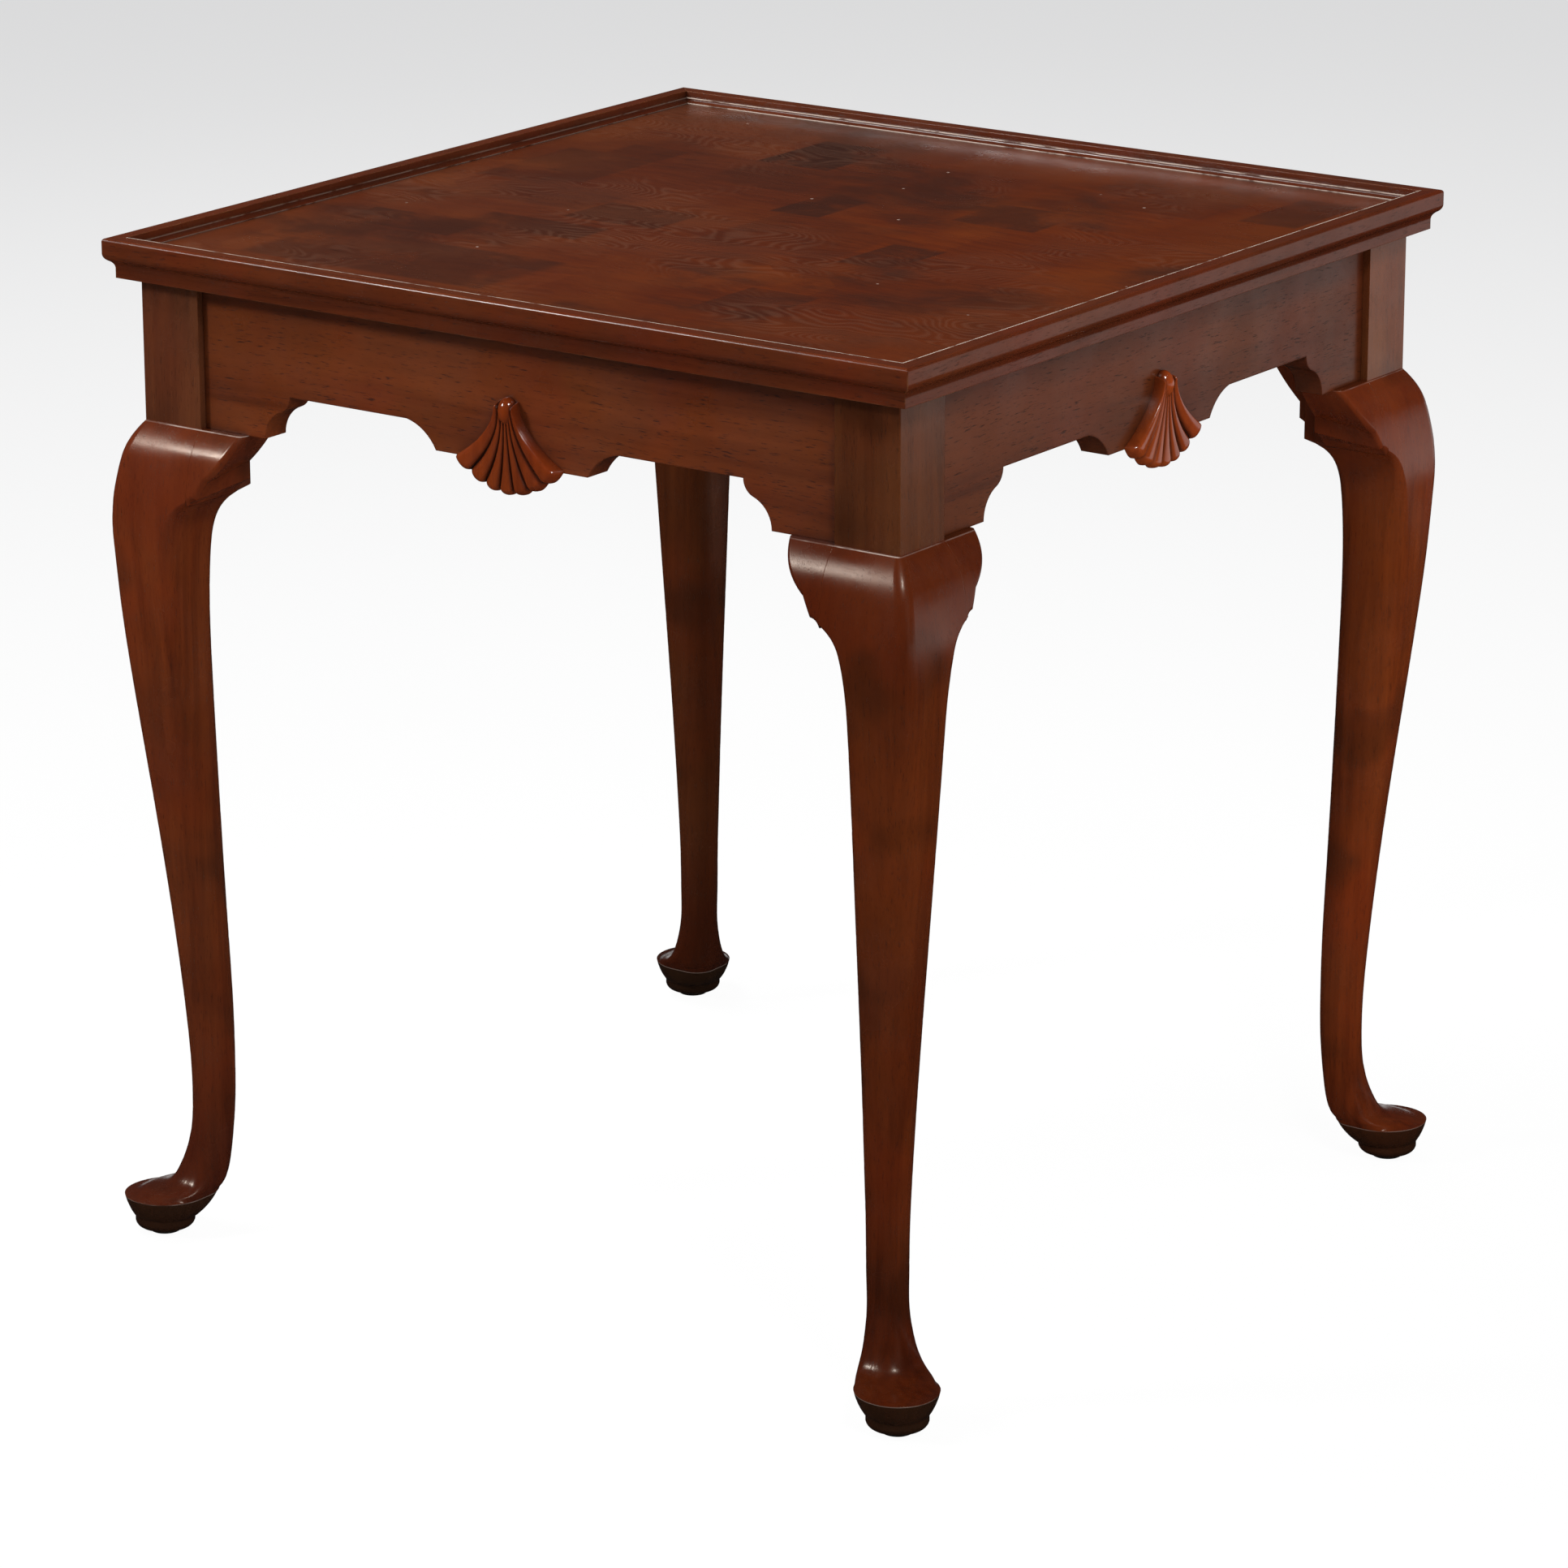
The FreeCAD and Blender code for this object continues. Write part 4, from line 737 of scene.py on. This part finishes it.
def fan_point(across, down):
    """Place of a point and its depth in a gouge cut, from 0 to 1.

    Across counts ribs from the middle one, down runs from 0 at the neck to 1 at the tip.
    """
    off_rib = abs(across - round(across)) * 2  # 0 in the middle of a rib, 1 in a gouge cut
    side_roll = rolled(abs(across), SIDE_START, HALF_RIBS)
    tip_roll = rolled(down, TIP_START, 1.0)
    head_roll = rolled(HEAD_END - down, 0.0, HEAD_END)
    ribs_out = min(abs(across), SIDE_START) + math.sin(side_roll) * (HALF_RIBS - SIDE_START)
    sideways = ribs_out / OUTER_RIB
    along = min(down, TIP_START) / TIP_START * STRAIGHT_PART + ROLLED_PART * math.sin(tip_roll)

    half_width = NECK_HALF + (TIP_HALF - NECK_HALF) * along ** FLARE
    start = NECK_HEIGHT + STRAND_RISE * min(1.0, sideways) ** 4
    end = TIP_HEIGHT + TIP_RISE * sideways ** 2 + SCALLOP * off_rib ** 2
    height = start + (end - start) * along

    in_gouge = 0.0 if side_roll > 0 else off_rib ** GOUGE_POWER
    gouge = min(GOUGE_DEPTH, half_width * GOUGE_TO_WIDTH) * in_gouge
    crown = CROWN * (1 - off_rib ** 2)
    swell = BODY + AT_NECK * (1 - along) ** 3 + AT_TIP * along ** 2 + AT_SIDES * sideways ** 4
    stand = (swell + crown - gouge) * math.cos(side_roll) * math.cos(tip_roll) * math.cos(head_roll)
    place = Vector((math.copysign(sideways * half_width, across), apron_face - stand, height))
    return place, in_gouge


# %% [markdown]
# The grid remembers how deep each point lies in a gouge cut, as an attribute of the mesh, and
# the material reads it to paint shade there, laid on as dark glaze. The knob is a stretched ball,
# sunk into the apron above the ribs.

# %% Carve one shell
BACK_INSET = 0.0004  # the flat back sits this far inside the apron
KNOB_RADII = (0.0066, 0.0072, 0.0092)
KNOB_INSET, KNOB_DROP = 0.0022, 0.0094


def carve_fan():
    fan = bmesh.new()
    cut = fan.verts.layers.float.new("gouge")
    bmesh.ops.create_grid(fan, x_segments=RIBS * POINTS_PER_RIB, y_segments=ROWS, size=1.0)
    for vert in fan.verts:
        vert.co, vert[cut] = fan_point(vert.co.x * HALF_RIBS, (1 - vert.co.y) / 2)
    front = fan.faces[:] + fan.edges[:] + fan.verts[:]
    grown = bmesh.ops.extrude_face_region(fan, geom=front, use_keep_orig=True)
    for item in grown["geom"]:
        if isinstance(item, bmesh.types.BMVert):
            item.co.y = apron_face + BACK_INSET
    bmesh.ops.recalc_face_normals(fan, faces=fan.faces)
    return fan


def round_knob():
    knob = bmesh.new()
    bmesh.ops.create_uvsphere(knob, u_segments=28, v_segments=18, radius=1.0)
    bmesh.ops.scale(knob, vec=KNOB_RADII, verts=knob.verts)
    middle = (0, apron_face - KNOB_INSET, SHELL_TOP - KNOB_DROP)
    bmesh.ops.translate(knob, vec=middle, verts=knob.verts)
    return knob


def join(target, other):
    """Add the second bmesh to the first. A spare mesh carries it over."""
    spare = bpy.data.meshes.new("spare")
    other.to_mesh(spare)
    other.free()
    target.from_mesh(spare)
    bpy.data.meshes.remove(spare)


# %% Put a shell on each apron
QUARTERS = {"front": 0, "right": 1, "back": 2, "left": 3}
for side, quarter in QUARTERS.items():
    shell = carve_fan()
    join(shell, round_knob())
    turn = Matrix.Rotation(quarter * math.pi / 2, 4, "Z")
    bmesh.ops.transform(shell, matrix=turn, verts=shell.verts)
    open_edges = sum(1 for edge in shell.edges if len(edge.link_faces) != 2)
    mesh = bpy.data.meshes.new("carved_shell_" + side)
    shell.to_mesh(mesh)
    shell.free()
    for polygon in mesh.polygons:
        polygon.use_smooth = True
    mesh.materials.append(shell_wood)
    piece = bpy.data.objects.new("carved_shell_" + side, mesh)
    bpy.context.scene.collection.objects.link(piece)
    smoother = piece.modifiers.new("smoother", "SUBSURF")
    smoother.levels = smoother.render_levels = 1
    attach(piece, "root")
    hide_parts("shell_" + side)
    print(piece.name, len(mesh.polygons), "faces,", open_edges, "open edges")

# %% [markdown]
# ## Studio
# The floor is a wide white sheet that fades to pale grey far behind. The camera sees it glow, so
# that it stays plain and pale, while the wood is lit by it only as by dull grey paper. The
# lacquer mirrors little of it: what lies far behind to the right, which puts the haze on the
# tray, and what is met nearly level beyond the table, which silvers the tops of the feet.

# %% Floor sheet
FLOOR_RADIUS = 25
floor_mesh = bmesh.new()
bmesh.ops.create_circle(floor_mesh, cap_ends=True, segments=64, radius=FLOOR_RADIUS)
floor_data = bpy.data.meshes.new("floor")
floor_mesh.to_mesh(floor_data)
floor_mesh.free()
floor = bpy.data.objects.new("floor", floor_data)
bpy.context.scene.collection.objects.link(floor)
print("floor sheet", FLOOR_RADIUS * 2, "metres across")

# %% Floor paper
WHITE, PALE_GREY = (1, 1, 1, 1), (0.715, 0.715, 0.72, 1)
FADE = (0.2, 5.2)  # distances from the table between which white turns to grey
FAR_PART = (2.3, 2.65)  # how far behind to the right the mirrored part begins and is full
TO_CAMERA = (0.583, -0.813, 0)  # level, from the table
PAPER_GLOW = 1.07
SEEN_GLOW = 0.9  # share of the glow in what the camera sees, the rest shows soft shadows
paper = bpy.data.materials.new("floor_paper")
paper.use_nodes = True
tree = paper.node_tree
tree.nodes.clear()
spot = object_place(tree)
away = vector_sums(tree, "LENGTH", spot)["Value"]
fade = add_node(tree, "ValToRGB", Fac=spread(tree, away, *FADE))
for element, tone in zip(fade.color_ramp.elements, (WHITE, PALE_GREY)):
    element.color = tone

rays = add_node(tree, "LightPath").outputs
floor_axes = axes_of(tree, spot)
behind_right = sums(tree, "ADD", times(tree, floor_axes["X"], 0.6),
                    times(tree, floor_axes["Y"], 0.8))
far_part = spread(tree, behind_right, *FAR_PART, 0.01, 0.9)
incoming = add_node(tree, "NewGeometry").outputs["Incoming"]
sight = vector_sums(tree, "DOT_PRODUCT", incoming, TO_CAMERA)["Value"]
mirrored = highest(tree, far_part, spread(tree, sight, 0.93, 1.0, 0.0, 0.8))
hidden = times(tree, rays["Is Glossy Ray"], outside(tree, mirrored))
glow = times(tree, PAPER_GLOW, outside(tree, hidden))

seen = highest(tree, rays["Is Camera Ray"], rays["Is Transmission Ray"])
glowing = highest(tree, times(tree, seen, SEEN_GLOW), rays["Is Glossy Ray"])
lit = add_node(tree, "BsdfDiffuse", Color=(0.50, 0.50, 0.50, 1))
shown = add_node(tree, "Emission", Color=fade.outputs["Color"], Strength=glow)
paper_mix = add_node(tree, "MixShader", in_order=(glowing, lit.outputs[0], shown.outputs[0]))
add_node(tree, "OutputMaterial", Surface=paper_mix.outputs[0])
floor_data.materials.append(paper)
print("floor paper with", len(tree.nodes), "nodes")

# %% [markdown]
# The air is the same pale grey for the camera. It gives the wood a weak, even light from all
# sides, and hardly shows in the lacquer.

# %% Air
AIR_GREY = (0.70, 0.70, 0.705, 1)
AIR_LIGHT, NOT_MIRRORED = 0.16, 0.135  # its strength, and what the lacquer leaves out of it
air = bpy.data.worlds.new("studio_air")
bpy.context.scene.world = air
air.use_nodes = True
tree = air.node_tree
tree.nodes.clear()
rays = add_node(tree, "LightPath").outputs
seen = highest(tree, rays["Is Camera Ray"], rays["Is Transmission Ray"])
air_light = sums(tree, "SUBTRACT", AIR_LIGHT, times(tree, rays["Is Glossy Ray"], NOT_MIRRORED))
dim = add_node(tree, "Background", Color=WHITE, Strength=air_light)
pale = add_node(tree, "Background", Color=AIR_GREY, Strength=1.0)
air_mix = add_node(tree, "MixShader", in_order=(seen, dim.outputs[0], pale.outputs[0]))
add_node(tree, "OutputWorld", Surface=air_mix.outputs[0])
print("air with", len(tree.nodes), "nodes")

# %% [markdown]
# ## Lamps
# Area lamps aimed at the tabletop. Only three of them show in the lacquer: the front left
# softbox gives the milky streaks along the knees and the points of light on feet and shells,
# the small window beside it sharpens them, and the right softbox answers from the other side.
# The rest light the wood evenly and make no highlights.

# %% Lamps
LAMPS = {  # place, width and height, watts, whether it shows in the lacquer
    "overhead_softbox": ((-1.2, -0.4, 2.6), (1.2, 1.0), 40, False),
    "front_left_softbox": ((-2.1, -2.55, 2.23), (0.56, 0.44), 46, True),
    "right_softbox": ((1.75, -1.3, 2.6), (0.5, 0.5), 30, True),
    "right_fill": ((3.0, -0.7, 1.1), (1.4, 1.2), 30, False),
    "back_left_fill": ((-2.6, 2.0, 1.8), (1.2, 1.2), 26, False),
    "back_right_fill": ((2.2, 2.6, 1.8), (1.2, 1.2), 22, False),
    "small_window": ((-1.6, -2.0, 2.2), (0.3, 0.3), 8, True),
}
LAMP_AIM = Vector((0, 0, 0.5))
for name, (place, size, watts, shows) in LAMPS.items():
    data = bpy.data.lights.new(name, "AREA")
    data.shape, data.size, data.size_y, data.energy = "RECTANGLE", *size, watts
    lamp = bpy.data.objects.new(name, data)
    bpy.context.scene.collection.objects.link(lamp)
    lamp.location = place
    lamp.rotation_mode = "QUATERNION"
    lamp.rotation_quaternion = (LAMP_AIM - Vector(place)).to_track_quat("-Z", "Y")
    lamp.visible_glossy = shows
print(len(LAMPS), "lamps")

# %% Colour management
bpy.context.scene.view_settings.view_transform = "Standard"
